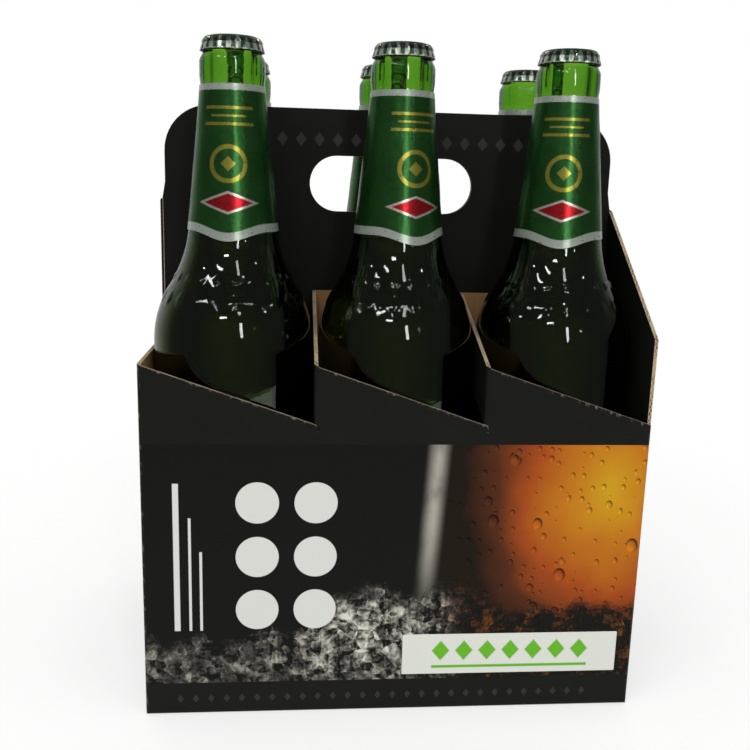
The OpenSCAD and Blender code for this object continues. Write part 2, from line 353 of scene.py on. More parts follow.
    def shades(self, value: Number, stops: Stops) -> Socket:
        """Colour that runs through the stops as value runs from 0 to 1.

        Args:
            value: Number from 0 to 1.
            stops: Position and colour of each stop.

        Returns:
            The colour's socket.
        """
        made = self.node("ShaderNodeValToRGB", {0: value})
        elements = made.color_ramp.elements
        while len(elements) < len(stops):
            elements.new(0.5)
        for element, (position, colour) in zip(elements, stops):
            element.position = position
            element.color = colour
        return made.outputs[0]

    def bump(self, height: Socket, depth: float, below: Socket | None = None) -> Socket:
        """Normal of a relief.

        Args:
            height: Height as a share from 0 to 1.
            depth: Real height of that range, in millimetres.
            below: Normal of another relief that this one lies on.

        Returns:
            The normal's socket.
        """
        inputs = {"Distance": depth * MM, "Height": height}
        if below is not None:
            inputs["Normal"] = below
        return self.node("ShaderNodeBump", inputs).outputs[0]

    def surface(self, **inputs: object) -> bpy.types.Material:
        """Ends the tree in a Principled surface.

        Args:
            **inputs: The shader's inputs, with _ for a space in their names.

        Returns:
            The finished material.
        """
        named = {name.replace("_", " "): value for name, value in inputs.items()}
        shader = self.node("ShaderNodeBsdfPrincipled", named)
        self.put(self.output.inputs["Surface"], shader.outputs[0])
        return self.material

    def absorb(self, clear: Place, over: float) -> None:
        """Fills the inside with a clear tint.

        Args:
            clear: Share of red, green and blue that comes through.
            over: Thickness that the shares hold for, in millimetres.
        """
        losses = [-math.log(share) / (over * MM) for share in clear]
        density = max(losses)
        colour = (*(1 - loss / density for loss in losses), 1.0)
        tint = self.node("ShaderNodeVolumeAbsorption", {"Color": colour, "Density": density})
        self.put(self.output.inputs["Volume"], tint.outputs[0])


@dataclass(frozen=True)
class DiamondRow:
    """Row of printed diamonds, in millimetres on its sheet.

    Attributes:
        up: Height of the row's middle.
        pitch: Distance between the diamonds' middles.
        half: Half of a diamond's width and height.
        ends: Where the row starts and stops.
        ink: Cover of the ink, from 0 to 1.
        blur: Softness of the edges.
    """

    up: float
    pitch: float
    half: Point
    ends: Point
    ink: float = 1.0
    blur: float = 0.1

    def cover(self, g: Graph, across: Socket, up: Socket) -> Socket:
        """Cover of the row's ink at a place on the sheet.

        Args:
            g: Graph of the material.
            across: Place across the sheet.
            up: Height on the sheet.

        Returns:
            The number's socket.
        """
        near = g.math("PINGPONG", g.add(across, self.pitch / 2), self.pitch / 2)
        wide = g.over(g.subtract(self.pitch / 2, near), self.half[0])
        high = g.over(g.size(g.subtract(up, self.up)), self.half[1])
        inside = g.ramp(g.add(wide, high), 1 + self.blur, 1 - self.blur)
        return g.times(g.times(inside, g.band(across, *self.ends, self.blur)), self.ink)


@dataclass(frozen=True)
class AmberPicture:
    """Right part of the printed picture: an amber glow with drops, behind a pale gleam."""

    edge: float = 12.0
    slant: float = 0.06
    fade: Point = (-2.0, 5.0)
    glow: Point = (96.0, 108.0)
    glow_stretch: Point = (67.0, 91.0)
    cloud_size: float = 26.0
    cloud_show: float = 0.3
    stops: Stops = (
        (0.0, srgb(182, 142, 24)),
        (0.28, srgb(170, 104, 23)),
        (0.54, srgb(146, 66, 22)),
        (0.78, srgb(74, 38, 20)),
        (1.0, srgb(27, 20, 14)),
    )
    # Cell size of each set of drops, and the share of its cells that stay empty
    drops: tuple[Point, ...] = ((11.0, 0.66), (4.95, 0.5))
    drop_squash: float = 0.8
    drop_least: float = 0.07
    drop_spread: float = 0.2
    drop_light: Point = (0.5, 0.86)
    drop_darkest: float = 0.12
    drop_tone: float = 1.05
    drop_shade: float = 0.7
    rim_shade: float = 0.55
    drop_rim: Point = (0.55, 0.95)
    drop_edge: Point = (1.1, 0.95)
    edge_guard: float = 0.001
    light_guard: float = 0.02
    gleam: Colour = srgb(176, 170, 160)
    gleam_wide: float = 8.4
    gleam_fade: Point = (40.0, 98.0)
    gleam_patch: float = 22.0
    gleam_squeeze: float = 2.0
    gleam_cover: Point = (0.05, 0.6)

    def lay(self, g: Graph, across: Socket, up: Socket, dark: Colour) -> Socket:
        """Colour of the picture behind its crystals.

        Args:
            g: Graph of the material.
            across: Place across the panel, from its middle.
            up: Height on the panel.
            dark: Colour of the picture's left part.

        Returns:
            The colour's socket.
        """
        past = g.subtract(across, g.line(up, self.slant, self.edge))
        colour = g.mix(g.ramp(past, *self.fade), dark, self.amber(g, across, up))
        streak = g.band(past, -self.gleam_wide / 2, 0.0, self.gleam_wide / 2)
        squeezed = g.vector(g.times(across, self.gleam_squeeze), up)
        patches = g.noise(squeezed, self.gleam_patch, 3.0)
        streak = g.times(streak, g.ramp(patches, *self.gleam_cover))
        return g.mix(g.times(streak, g.ramp(up, *self.gleam_fade)), colour, self.gleam)

    def amber(self, g: Graph, across: Socket, up: Socket) -> Socket:
        """Amber glow with round drops that are lit from one side.

        Args:
            g: Graph of the material.
            across: Place across the sheet.
            up: Height on the sheet.

        Returns:
            The colour's socket.
        """
        far = g.reach(across, up, self.glow, self.glow_stretch)
        cloud = g.noise(g.vector(across, up), self.cloud_size, 3.0)
        uneven = g.line(cloud, self.cloud_show, -self.cloud_show / 2)
        base = g.shades(g.add(far, uneven), self.stops)
        place = g.vector(across, g.times(up, self.drop_squash))
        for size, empty in self.drops:
            away, right, rise, chance, spread, _ = g.cells(place, size)
            radius = g.line(spread, self.drop_spread, self.drop_least)
            radius = g.times(radius, g.math("GREATER_THAN", chance, empty))
            share = g.over(away, g.add(radius, self.edge_guard))
            facing = g.add(g.times(right, self.drop_light[0]), g.times(rise, self.drop_light[1]))
            lit = g.over(facing, g.add(radius, self.light_guard))
            rim = g.ramp(share, *self.drop_rim)
            tone = g.line(rim, -self.rim_shade, g.line(lit, -self.drop_shade, self.drop_tone))
            drop = g.scaled(base, g.most(tone, self.drop_darkest))
            base = g.mix(g.ramp(share, *self.drop_edge), base, drop)
        return base


@dataclass(frozen=True)
class CrystalHeap:
    """Grey crystal lumps heaped along the foot of the printed picture, warm at the right."""

    height: float = 21.0
    swell: float = 36.0
    swell_size: float = 24.0
    pile: float = 27.0
    pile_middle: float = -6.0
    pile_spread: float = 52.0
    right_rise: float = 17.0
    right_from: Point = (2.0, 26.0)
    size: float = 5.2
    # Size of each set of facets, as a share, and the depth of its shading
    facets: tuple[Point, ...] = ((1.5, 0.5), (0.8, 0.55), (0.36, 0.4))
    base_shade: float = 0.36
    stir_share: float = 0.5
    tone_share: float = 0.6
    tone_drop: float = 0.2
    bright: Point = (-14.0, 38.0)
    bright_stretch: Point = (62.0, 34.0)
    bright_gain: float = 0.75
    dimmest: float = 0.5
    patch_size: float = 13.0
    patch_gain: float = 1.6
    sparkle_size: float = 1.3
    sparkle: float = 0.3
    sparkle_from: Point = (0.6, 0.72)
    stops: Stops = (
        (0.0, srgb(17, 17, 15)),
        (0.25, srgb(70, 68, 63)),
        (0.55, srgb(132, 129, 120)),
        (1.0, srgb(192, 190, 180)),
    )
    amber: Colour = srgb(128, 74, 28)
    amber_from: Point = (14.0, 36.0)
    amber_tones: Point = (0.1, 0.9)
    top_fade: float = 7.0

    def lay(self, g: Graph, across: Socket, up: Socket, below: Socket, dark: Colour) -> Socket:
        """Colour of the picture with the heap in front.

        Args:
            g: Graph of the material.
            across: Place across the panel.
            up: Height on the panel.
            below: Colour of what lies behind the heap.
            dark: Colour of the heap's shadows in the amber light.

        Returns:
            The colour's socket.
        """
        place = g.vector(across, up)
        shade: Number = self.base_shade
        for share, deep in self.facets:
            size = self.size * share
            stirred = g.stir(place, size, size * self.stir_share)
            _, right, rise, turn, tone, centre = g.cells(stirred, size)
            tilted = g.line(g.slope(right, rise, turn), deep, shade)
            lower = g.subtract(tilted, deep * self.tone_drop)
            shade = g.line(g.math("POWER", tone, 2.0), deep * self.tone_share, lower)
        cover = self.cover(g, centre)
        near = g.ramp(g.reach(across, up, self.bright, self.bright_stretch), 1.0, 0.0)
        shade = g.times(shade, g.line(near, self.bright_gain, self.dimmest))
        shade = g.times(shade, g.times(g.noise(place, self.patch_size, 2.0), self.patch_gain))
        glints = g.ramp(g.noise(place, self.sparkle_size, 4.0), *self.sparkle_from)
        shade = g.line(glints, self.sparkle, shade)
        warm = g.mix(g.ramp(shade, *self.amber_tones), dark, self.amber)
        heap = g.mix(g.ramp(across, *self.amber_from), g.shades(shade, self.stops), warm)
        return g.mix(cover, below, heap)

    def cover(self, g: Graph, centre: Socket) -> Socket:
        """1 where a facet's centre lies under the top of the heap.

        Args:
            g: Graph of the material.
            centre: Place of the facet's centre on the sheet.

        Returns:
            The number's socket.
        """
        middle, height, _ = g.split(centre)
        pile = g.ramp(g.reach(middle, 0.0, (self.pile_middle, 0.0)), self.pile_spread, 0.0)
        uneven = g.times(g.noise(g.vector(middle, 3.0), self.swell_size, 3.0), self.swell)
        top = g.add(g.line(pile, self.pile, self.height), uneven)
        top = g.line(g.ramp(middle, *self.right_from), self.right_rise, top)
        return g.ramp(g.subtract(top, height), 0.0, self.top_fade)


@dataclass(frozen=True)
class BoardInk:
    """Charcoal satin print on the outside of the board, with its picture band and ornaments."""

    ink: Colour = srgb(18, 18, 16)
    ink_pale: Colour = srgb(25, 25, 22)
    cloud_size: float = 24.0
    dim: Colour = srgb(52, 51, 48)
    pale: Colour = srgb(192, 193, 188)
    plate: Colour = srgb(196, 198, 190)
    leaf_green: Colour = srgb(92, 160, 40)
    picture_black: Colour = srgb(18, 18, 15)
    scuff: Colour = srgb(138, 130, 118)
    scuff_size: float = 5.0
    scuff_squeeze: float = 3.0
    scuff_from: Point = (0.52, 0.68)
    scuff_cover: float = 0.55
    roughness: float = 0.42
    grain_size: float = 1.1
    grain_rough: float = 0.16
    specular: float = 0.06
    flute_show: float = 0.012
    wave_size: float = 42.0
    wave_show: float = 0.16
    picture_low: float = 16.0
    picture_high: float = 130.0
    picture_blur: float = 0.12
    panel_edge: float = 113.9
    fold_wear: float = 1.7
    tooth_high: float = 165.0
    tooth_fall: float = 26.0
    tooth_pitch: float = 75.4
    tooth_wear: float = 1.3
    pip_columns: Point = (-63.0, -37.0)
    pip_rows: Place = (52.0, 77.5, 103.0)
    pip_radius: float = 9.6
    # Left, right, foot and top of each bar
    bars: tuple[tuple[float, float, float, float], ...] = (
        (-100.0, -97.4, 42.0, 112.0),
        (-93.4, -92.2, 42.0, 96.0),
        (-88.6, -87.4, 42.0, 80.0),
    )
    plate_low: Point = (4.0, 18.3)
    plate_high: Point = (106.0, 38.4)
    plate_corner: float = 0.6
    rule_low: Point = (17.8, 21.2)
    rule_high: Point = (92.2, 22.6)
    plate_row: DiamondRow = DiamondRow(30.0, 11.0, (4.2, 5.0), (16.5, 93.5))
    foot_row: DiamondRow = DiamondRow(8.0, 7.0, (1.5, 2.0), (-101.0, 94.0), 0.7)
    handle_row: DiamondRow = DiamondRow(263.0, 9.0, (2.6, 3.4), (-92.0, 92.0), 0.8)
    amber: AmberPicture = AmberPicture()
    crystals: CrystalHeap = CrystalHeap()

    def lay(self, g: Graph, colour: Socket, across: Socket, up: Socket) -> bpy.types.Material:
        """Gives an ink colour the board's satin surface.

        Args:
            g: Graph of the material.
            colour: Colour of the ink.
            across: Place across the flutes, in millimetres.
            up: Place along the flutes, in millimetres.

        Returns:
            The finished material.
        """
        place = g.vector(across, up)
        wave = g.bump(g.noise(place, self.wave_size), self.wave_show)
        grain = g.noise(place, self.grain_size, 4.0)
        return g.surface(
            Base_Color=colour,
            Roughness=g.line(grain, self.grain_rough, self.roughness - self.grain_rough / 2),
            Specular_IOR_Level=self.specular,
            Normal=g.bump(g.flutes(across), self.flute_show, wave),
        )

    def charcoal(self, g: Graph, across: Socket, up: Socket) -> Socket:
        """Colour of the plain ink, a little uneven."""
        return g.mix(g.noise(g.vector(across, up), self.cloud_size, 5.0), self.ink, self.ink_pale)

    def plain(self) -> bpy.types.Material:
        """Print without a picture, for the ends, the straps and the underside.

        Returns:
            The finished material.
        """
        g = Graph("plain_print")
        across, up = g.sheet()
        return self.lay(g, self.charcoal(g, across, up), across, up)

    def handle(self) -> bpy.types.Material:
        """Print of the centre panel: a dim row of diamonds along the handle.

        Returns:
            The finished material.
        """
        g = Graph("handle_print")
        across, up = g.sheet()
        row = self.handle_row.cover(g, across, up)
        return self.lay(g, g.mix(row, self.charcoal(g, across, up), self.dim), across, up)

    def picture(self) -> bpy.types.Material:
        """Print of the front and back panels: the picture band, worn edges and a foot row.

        Returns:
            The finished material.
        """
        g = Graph("picture_print")
        across, up = g.sheet()
        row = self.foot_row.cover(g, across, up)
        colour = g.mix(row, self.charcoal(g, across, up), self.dim)
        inside = g.band(up, self.picture_low, self.picture_high, self.picture_blur)
        colour = g.mix(inside, colour, self.scene(g, across, up))
        squeezed = g.vector(g.times(across, self.scuff_squeeze), up)
        patchy = g.noise(squeezed, self.scuff_size, 5.0)
        worn = g.times(self.wear(g, across, up), g.ramp(patchy, *self.scuff_from))
        colour = g.mix(g.times(worn, self.scuff_cover), colour, self.scuff)
        return self.lay(g, colour, across, up)

    def wear(self, g: Graph, across: Socket, up: Socket) -> Socket:
        """1 at the side folds and the cut upper edge, and 0 away from them.

        Args:
            g: Graph of the material.
            across: Place across the sheet.
            up: Height on the sheet.

        Returns:
            The number's socket.
        """
        folds = g.ramp(g.size(across), self.panel_edge - self.fold_wear, self.panel_edge)
        tooth = g.math("FRACT", g.over(g.add(across, self.panel_edge), self.tooth_pitch))
        top = g.line(tooth, -self.tooth_fall, self.tooth_high)
        return g.most(folds, g.ramp(g.subtract(top, up), self.tooth_wear, 0.0))

    def scene(self, g: Graph, across: Socket, up: Socket) -> Socket:
        """Colour of the picture band: amber glow, crystals, pips, bars and a plate.

        Args:
            g: Graph of the material.
            across: Place across the panel, from its middle.
            up: Height on the panel.

        Returns:
            The colour's socket.
        """
        colour = self.amber.lay(g, across, up, self.picture_black)
        colour = self.crystals.lay(g, across, up, colour, self.picture_black)
        for left, right, low, high in self.bars:
            colour = g.mix(g.box(across, up, (left, low), (right, high)), colour, self.pale)
        for x in self.pip_columns:
            for y in self.pip_rows:
                pip = g.within(g.reach(across, up, (x, y)), self.pip_radius)
                colour = g.mix(pip, colour, self.pale)
        colour = g.mix(self.plate_shape(g, across, up), colour, self.plate)
        rule = g.box(across, up, self.rule_low, self.rule_high)
        return g.mix(g.most(self.plate_row.cover(g, across, up), rule), colour, self.leaf_green)

    def plate_shape(self, g: Graph, across: Socket, up: Socket) -> Socket:
        """1 inside the plate, a rectangle with slightly round corners.

        Args:
            g: Graph of the material.
            across: Place across the sheet.
            up: Height on the sheet.

        Returns:
            The number's socket.
        """
        past = []
        for place, low, high in zip((across, up), self.plate_low, self.plate_high):
            from_middle = g.size(g.subtract(place, (low + high) / 2))
            past.append(g.most(g.subtract(from_middle, (high - low) / 2 - self.plate_corner), 0.0))
        return g.within(g.reach(*past, (0.0, 0.0)), self.plate_corner)


@dataclass(frozen=True)
class Kraft:
    """Bare brown liner inside the board."""

    brown: Colour = srgb(128, 95, 62)
    brown_pale: Colour = srgb(158, 121, 82)
    speck: Colour = srgb(88, 62, 38)
    speck_size: float = 0.9
    speck_cover: float = 0.5
    speck_from: Point = (0.68, 0.76)
    roughness: float = 0.86
    specular: float = 0.2
    fibre_length: float = 7.0
    fibre_width: float = 0.45
    fibre_show: float = 0.05
    fibre_share: float = 0.7
    cloud_size: float = 16.0
    flute_show: float = 0.04

    def material(self) -> bpy.types.Material:
        """Fibres, specks and faint flute lines.

        Returns:
            The finished material.
        """
        g = Graph("bare_kraft")
        across, up = g.sheet()
        place = g.vector(across, up)
        narrow = g.times(across, self.fibre_length / self.fibre_width)
        fibres = g.noise(g.vector(narrow, up), self.fibre_length, 5.0)
        cloud = g.times(g.noise(place, self.cloud_size, 3.0), 1 - self.fibre_share)
        colour = g.mix(g.line(fibres, self.fibre_share, cloud), self.brown, self.brown_pale)
        specks = g.ramp(g.noise(place, self.speck_size, 2.0), *self.speck_from)
        return g.surface(
            Base_Color=g.mix(g.times(specks, self.speck_cover), colour, self.speck),
            Roughness=self.roughness,
            Specular_IOR_Level=self.specular,
            Normal=g.bump(fibres, self.fibre_show, g.bump(g.flutes(across), self.flute_show)),
        )


@dataclass(frozen=True)
class CutEdge:
    """Die-cut edge of the board, where the fluted layer shows between its two liners."""

    tan: Colour = srgb(190, 175, 148)
    tan_dark: Colour = srgb(142, 125, 99)
    # Painted shade: the colour of the flute hollows, which are kraft paper darkened by painted
    # shade
    hollow_shade: Colour = srgb(78, 65, 48)
    liner_share: float = 0.16
    liner_edge: Point = (1.3, 0.7)
    layer_share: float = 0.13
    crush_size: float = 6.0
    crush_turn: float = 2.0
    flat_size: float = 11.0
    flat_from: Point = (0.42, 0.62)
    flat_cover: float = 0.75
    fibre_size: float = 0.7
    relief: float = 0.25
    roughness: float = 0.9
    specular: float = 0.15

    def material(self) -> bpy.types.Material:
        """Liners, the wavy layer, and painted shade in the hollows between them.

        Returns:
            The finished material.
        """
        g = Graph("cut_edge")
        along, across = g.sheet()
        ply = g.math("FRACT", g.size(across))
        lumps = g.noise(g.vector(along, across), self.crush_size, 3.0)
        crushed = g.times(lumps, self.crush_turn)
        wave = g.math("SINE", g.line(along, TURN / FLUTE_PITCH, crushed))
        middle = g.line(wave, 0.5 - self.liner_share, 0.5)
        from_layer = g.size(g.subtract(ply, middle))
        layer = g.ramp(from_layer, self.layer_share * 2, self.layer_share)
        side = g.size(g.subtract(ply, 0.5))
        liner = g.ramp(side, *(0.5 - self.liner_share * share for share in self.liner_edge))
        pressed = g.noise(g.vector(along, 4.0), self.flat_size, 4.0)
        flattened = g.ramp(pressed, *self.flat_from)
        paper = g.most(g.most(layer, liner), g.times(flattened, self.flat_cover))
        fibres = g.noise(g.vector(along, g.times(across, 2.0)), self.fibre_size, 4.0)
        return g.surface(
            # Between the paper, the hollows get the painted shade colour
            Base_Color=g.mix(paper, self.hollow_shade, g.mix(fibres, self.tan_dark, self.tan)),
            Roughness=self.roughness,
            Specular_IOR_Level=self.specular,
            Normal=g.bump(paper, self.relief),
        )


@dataclass(frozen=True)
class GreenGlass:
    """Bottle glass: a deep green body colour, slightly wavy from the mould."""

    clear: Place = (0.15, 0.37, 0.03)
    clear_over: float = 10.4
    tint: Colour = srgb(232, 244, 222)
    tint_pale: Colour = srgb(246, 252, 240)
    tint_size: float = 30.0
    refraction: float = 1.51
    wave_size: float = 11.0
    wave_show: float = 0.06
    grain_size: float = 0.8
    grain_from: Point = (0.5, 0.9)
    grain_rough: float = 0.05

    def material(self) -> bpy.types.Material:
        """Clear shell with its tint inside.

        Returns:
            The finished material.
        """
        g = Graph("green_glass")
        place = g.vector(*g.sheet())
        g.absorb(self.clear, self.clear_over)
        grain = g.ramp(g.noise(place, self.grain_size, 3.0), *self.grain_from)
        return g.surface(
            Base_Color=g.mix(g.noise(place, self.tint_size), self.tint, self.tint_pale),
            Transmission_Weight=1.0,
            IOR=self.refraction,
            Roughness=g.times(grain, self.grain_rough),
            Normal=g.bump(g.noise(place, self.wave_size, 1.0), self.wave_show),
        )


@dataclass(frozen=True)
class AmberBeer:
    """Clear amber liquid."""

    clear: Place = (0.42, 0.24, 0.008)
    clear_over: float = 60.0
    haze: Colour = srgb(250, 240, 214)
    haze_pale: Colour = srgb(255, 248, 230)
    haze_size: float = 9.0
    refraction: float = 1.34

    def material(self) -> bpy.types.Material:
        """Clear shell with its tint inside.

        Returns:
            The finished material.
        """
        g = Graph("amber_beer")
        g.absorb(self.clear, self.clear_over)
        return g.surface(
            Base_Color=g.mix(g.noise(g.place(), self.haze_size), self.haze, self.haze_pale),
            Transmission_Weight=1.0,
            IOR=self.refraction,
            Roughness=0.0,
        )


@dataclass(frozen=True)
class CapLacquer:
    """Dark green lacquer on tinplate, rubbed bright on the flutes."""

    green: Colour = srgb(16, 40, 26)
    green_pale: Colour = srgb(34, 70, 46)
    cloud_size: float = 5.0
    metal: Colour = srgb(186, 192, 182)
    rub_size: float = 1.6
    rub_patch: float = 0.7
    rub_from: Point = (0.55, 0.85)
    rub_edge: Point = (0.42, 0.75)
    rim: Point = (0.955, 0.99)
    ring: Colour = srgb(120, 140, 112)
    ring_low: float = 0.44
    ring_high: float = 0.475
    ring_blur: float = 0.006
    metal_share: float = 0.4
    metal_gain: float = 0.5
    roughness: float = 0.2
    patch_rough: float = 0.2
    coat: float = 0.4
    coat_roughness: float = 0.12

    def material(self) -> bpy.types.Material:
        """Lacquer that thins out to bare metal on the crests and the rim.

        Returns:
            The finished material.
        """
        g = Graph("cap_lacquer")
        down = g.attribute("skirt")
        crest = g.attribute("crest")
        patchy = g.noise(g.place(), self.rub_size, 4.0)
        uneven = g.line(patchy, self.rub_patch, -self.rub_patch / 2)
        rub = g.add(g.times(crest, g.ramp(down, *self.rub_from)), uneven)
        bare = g.most(g.ramp(rub, *self.rub_edge), g.ramp(down, *self.rim))
        lacquer = g.mix(g.noise(g.place(), self.cloud_size, 3.0), self.green, self.green_pale)
        ring = g.band(down, self.ring_low, self.ring_high, self.ring_blur)
        return g.surface(
            Base_Color=g.mix(bare, g.mix(ring, lacquer, self.ring), self.metal),
            Metallic=g.line(bare, self.metal_gain, self.metal_share),
            Roughness=g.line(patchy, self.patch_rough, self.roughness),
            Coat_Weight=self.coat,
            Coat_Roughness=self.coat_roughness,
        )


@dataclass(frozen=True)
class LinerPlastic:
    """Soft pale plastic of the cap's sealing liner."""

    pale: Colour = srgb(205, 205, 198)
    grey: Colour = srgb(182, 182, 174)
    mottle_size: float = 2.0
    mottle_show: float = 0.05
    roughness: float = 0.55

    def material(self) -> bpy.types.Material:
        """Slightly mottled matt plastic.

        Returns:
            The finished material.
        """
        g = Graph("liner_plastic")
        mottle = g.noise(g.place(), self.mottle_size, 3.0)
        return g.surface(
            Base_Color=g.mix(mottle, self.pale, self.grey),
            Roughness=self.roughness,
            Normal=g.bump(mottle, self.mottle_show),
        )


@dataclass(frozen=True)
class NeckFoil:
    """Green foil paper with silver bands, gold rules and ring, and a red lozenge."""

    green: Colour = srgb(52, 104, 50)
    green_deep: Colour = srgb(34, 75, 35)
    cloud_size: float = 14.0
    silver: Colour = srgb(150, 158, 148)
    gold: Colour = srgb(158, 152, 62)
    red: Colour = srgb(172, 34, 40)
    white: Colour = srgb(214, 206, 196)
    band_height: float = 3.7
    top_band: float = 276.8
    ring_centre: Point = (0.0, 246.0)
    ring_out: float = 8.2
    ring_in: float = 6.3
    gem_half: Point = (3.0, 3.4)
    lozenge_centre: Point = (0.0, 229.5)
    lozenge_half: Point = (11.0, 4.4)
    lozenge_out: Point = (1.18, 1.1)
    lozenge_in: Point = (0.92, 0.86)
    # Half length, foot and top of each rule
    rules: tuple[Place, ...] = ((12.0, 262.0, 263.3), (8.5, 265.6, 266.5), (12.0, 268.8, 270.1))
    crease_size: float = 3.5
    crease_show: float = 0.1
    crease_stretch: float = 0.35
    grain_size: float = 2.0
    grain_rough: float = 0.14
    roughness: float = 0.22
    metal: float = 0.9
    band_metal: float = 0.54

    def material(self) -> bpy.types.Material:
        """Printed foil with fine wrinkles.

        Returns:
            The finished material.
        """
        g = Graph("neck_foil")
        across, up = g.sheet()
        above = g.attribute("above_edge")
        place = g.vector(across, up)
        colour = g.mix(g.noise(place, self.cloud_size, 3.0), self.green_deep, self.green)
        for half, low, high in self.rules:
            colour = g.mix(g.box(across, up, (-half, low), (half, high)), colour, self.gold)
        far = g.reach(across, up, self.ring_centre)
        colour = g.mix(g.band(far, self.ring_in, self.ring_out, PRINT_BLUR), colour, self.gold)
        gem = self.diamond(g, across, up, self.ring_centre, (1.0, 1.0))
        inner, outer = self.gem_half
        colour = g.mix(g.ramp(gem, outer, inner), colour, self.gold)
        lozenge = self.diamond(g, across, up, self.lozenge_centre, self.lozenge_half)
        colour = g.mix(g.ramp(lozenge, *self.lozenge_out), colour, self.white)
        colour = g.mix(g.ramp(lozenge, *self.lozenge_in), colour, self.red)
        top = g.ramp(up, self.top_band - PRINT_BLUR, self.top_band + PRINT_BLUR)
        band = g.most(g.within(above, self.band_height), top)
        stretched = g.vector(across, g.times(up, self.crease_stretch))
        creases = g.noise(stretched, self.crease_size, 1.5)
        grain = g.noise(place, self.grain_size, 3.0)
        return g.surface(
            Base_Color=g.mix(band, colour, self.silver),
            Metallic=g.line(band, self.band_metal - self.metal, self.metal),
            Roughness=g.line(grain, self.grain_rough, self.roughness),
            Normal=g.bump(creases, self.crease_show),
        )

    def diamond(self, g: Graph, across: Socket, up: Socket, centre: Point, half: Point) -> Socket:
        """Distance from a diamond's centre, which is 1 on its outline.

        Args:
            g: Graph of the material.
            across: Place across the sheet.
            up: Height on the sheet.
            centre: Middle of the diamond.
            half: Half of its width and height.

        Returns:
            The number's socket.
        """
        wide, high = (
            g.over(g.size(g.subtract(place, middle)), reach)
            for place, middle, reach in zip((across, up), centre, half)
        )
        return g.add(wide, high)


@dataclass(frozen=True)
class BodyPaper:
    """Coated paper label: pale grey-green field with a dark green band and a silver edge."""

    field_colour: Colour = srgb(150, 160, 150)
    band_colour: Colour = srgb(14, 52, 30)
    edge_colour: Colour = srgb(196, 200, 194)
    band_low: float = 66.0
    band_high: float = 106.0
    edge_top: float = 128.0
    blur: float = 0.2
    tooth_size: float = 0.6
    tooth_tone: float = 0.25
    tooth_show: float = 0.03
    roughness: float = 0.5

    def material(self) -> bpy.types.Material:
        """Printed paper with a fine tooth.

        Returns:
            The finished material.
        """
        g = Graph("body_paper")
        across, up = g.sheet()
        tooth = g.noise(g.vector(across, up), self.tooth_size, 4.0)
        colour = g.mix(g.times(tooth, self.tooth_tone), self.field_colour, self.edge_colour)
        band = g.band(up, self.band_low, self.band_high, self.blur)
        edge = g.ramp(up, self.edge_top - self.blur, self.edge_top + self.blur)
        return g.surface(
            Base_Color=g.mix(edge, g.mix(band, colour, self.band_colour), self.edge_colour),
            Roughness=self.roughness,
            Normal=g.bump(tooth, self.tooth_show),
        )


def new_piece(
    mesh: bpy.types.Mesh,
    name: str,
    material: bpy.types.Material | None = None,
) -> bpy.types.Object:
    """Puts a mesh in the scene as a piece at the origin.

    Args:
        mesh: The piece's mesh, in its place.
        name: The piece's name.
        material: Its one material, where it has one.

    Returns:
        The new object.
    """
    piece = bpy.data.objects.new(name, mesh)
    bpy.context.scene.collection.objects.link(piece)
    mesh.name = name
    if material is not None:
        mesh.materials.clear()
        mesh.materials.append(material)
    return piece


def hand_over(piece: bpy.types.Object, node: str, slot: str) -> None:
    """Lets a piece stand for a CAD node and reports it.

    Args:
        piece: The finished piece.
        node: Name of the CAD node.
        slot: Name of the record's material slot; not used.
    """
    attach(piece, "root")
    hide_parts(node)
    LOG.info("%s stands for %s: %d faces", piece.name, node, len(piece.data.polygons))


def bake(piece: bpy.types.Object) -> None:
    """Turns a piece's modifiers into plain mesh.

    Args:
        piece: Piece whose modifiers are applied.
    """
    graph = bpy.context.evaluated_depsgraph_get()
    mesh = bpy.data.meshes.new_from_object(piece.evaluated_get(graph))
    piece.modifiers.clear()
    piece.data = mesh
    mesh.name = piece.name


def reshape(mesh: bpy.types.Mesh, change: Callable[[bmesh.types.BMesh], object]) -> None:
    """Lets a function change a mesh in place.

    Args:
        mesh: Mesh to change.
        change: Function that works on its editable copy.
    """
    shape = bmesh.new()
    shape.from_mesh(mesh)
    change(shape)
    shape.to_mesh(mesh)
    shape.free()


def smooth(mesh: bpy.types.Mesh, sharp_angle: float) -> None:
    """Shades a mesh smooth, apart from edges that are sharper than an angle in degrees."""
    mesh.polygons.foreach_set("use_smooth", [True] * len(mesh.polygons))
    mesh.set_sharp_from_angle(angle=math.radians(sharp_angle))


def sheet_mesh(
    name: str,
    vertices: list[Place],
    faces: list[list[int]],
    places: list[Point],
) -> bpy.types.Mesh:
    """Makes a smooth mesh with a sheet map.

    Args:
        name: The mesh's name.
        vertices: Its points, in metres.
        faces: Its faces, as indices of points.
        places: Place on the sheet of each corner of each face in turn.

    Returns:
        The mesh.
    """
    mesh = bpy.data.meshes.new(name)
    mesh.from_pydata(vertices, [], faces)
    sheet = mesh.uv_layers.new(name=SHEET_MAP)
    sheet.uv.foreach_set("vector", [number for place in places for number in place])
    smooth(mesh, SHARP_ANGLE)
    return mesh


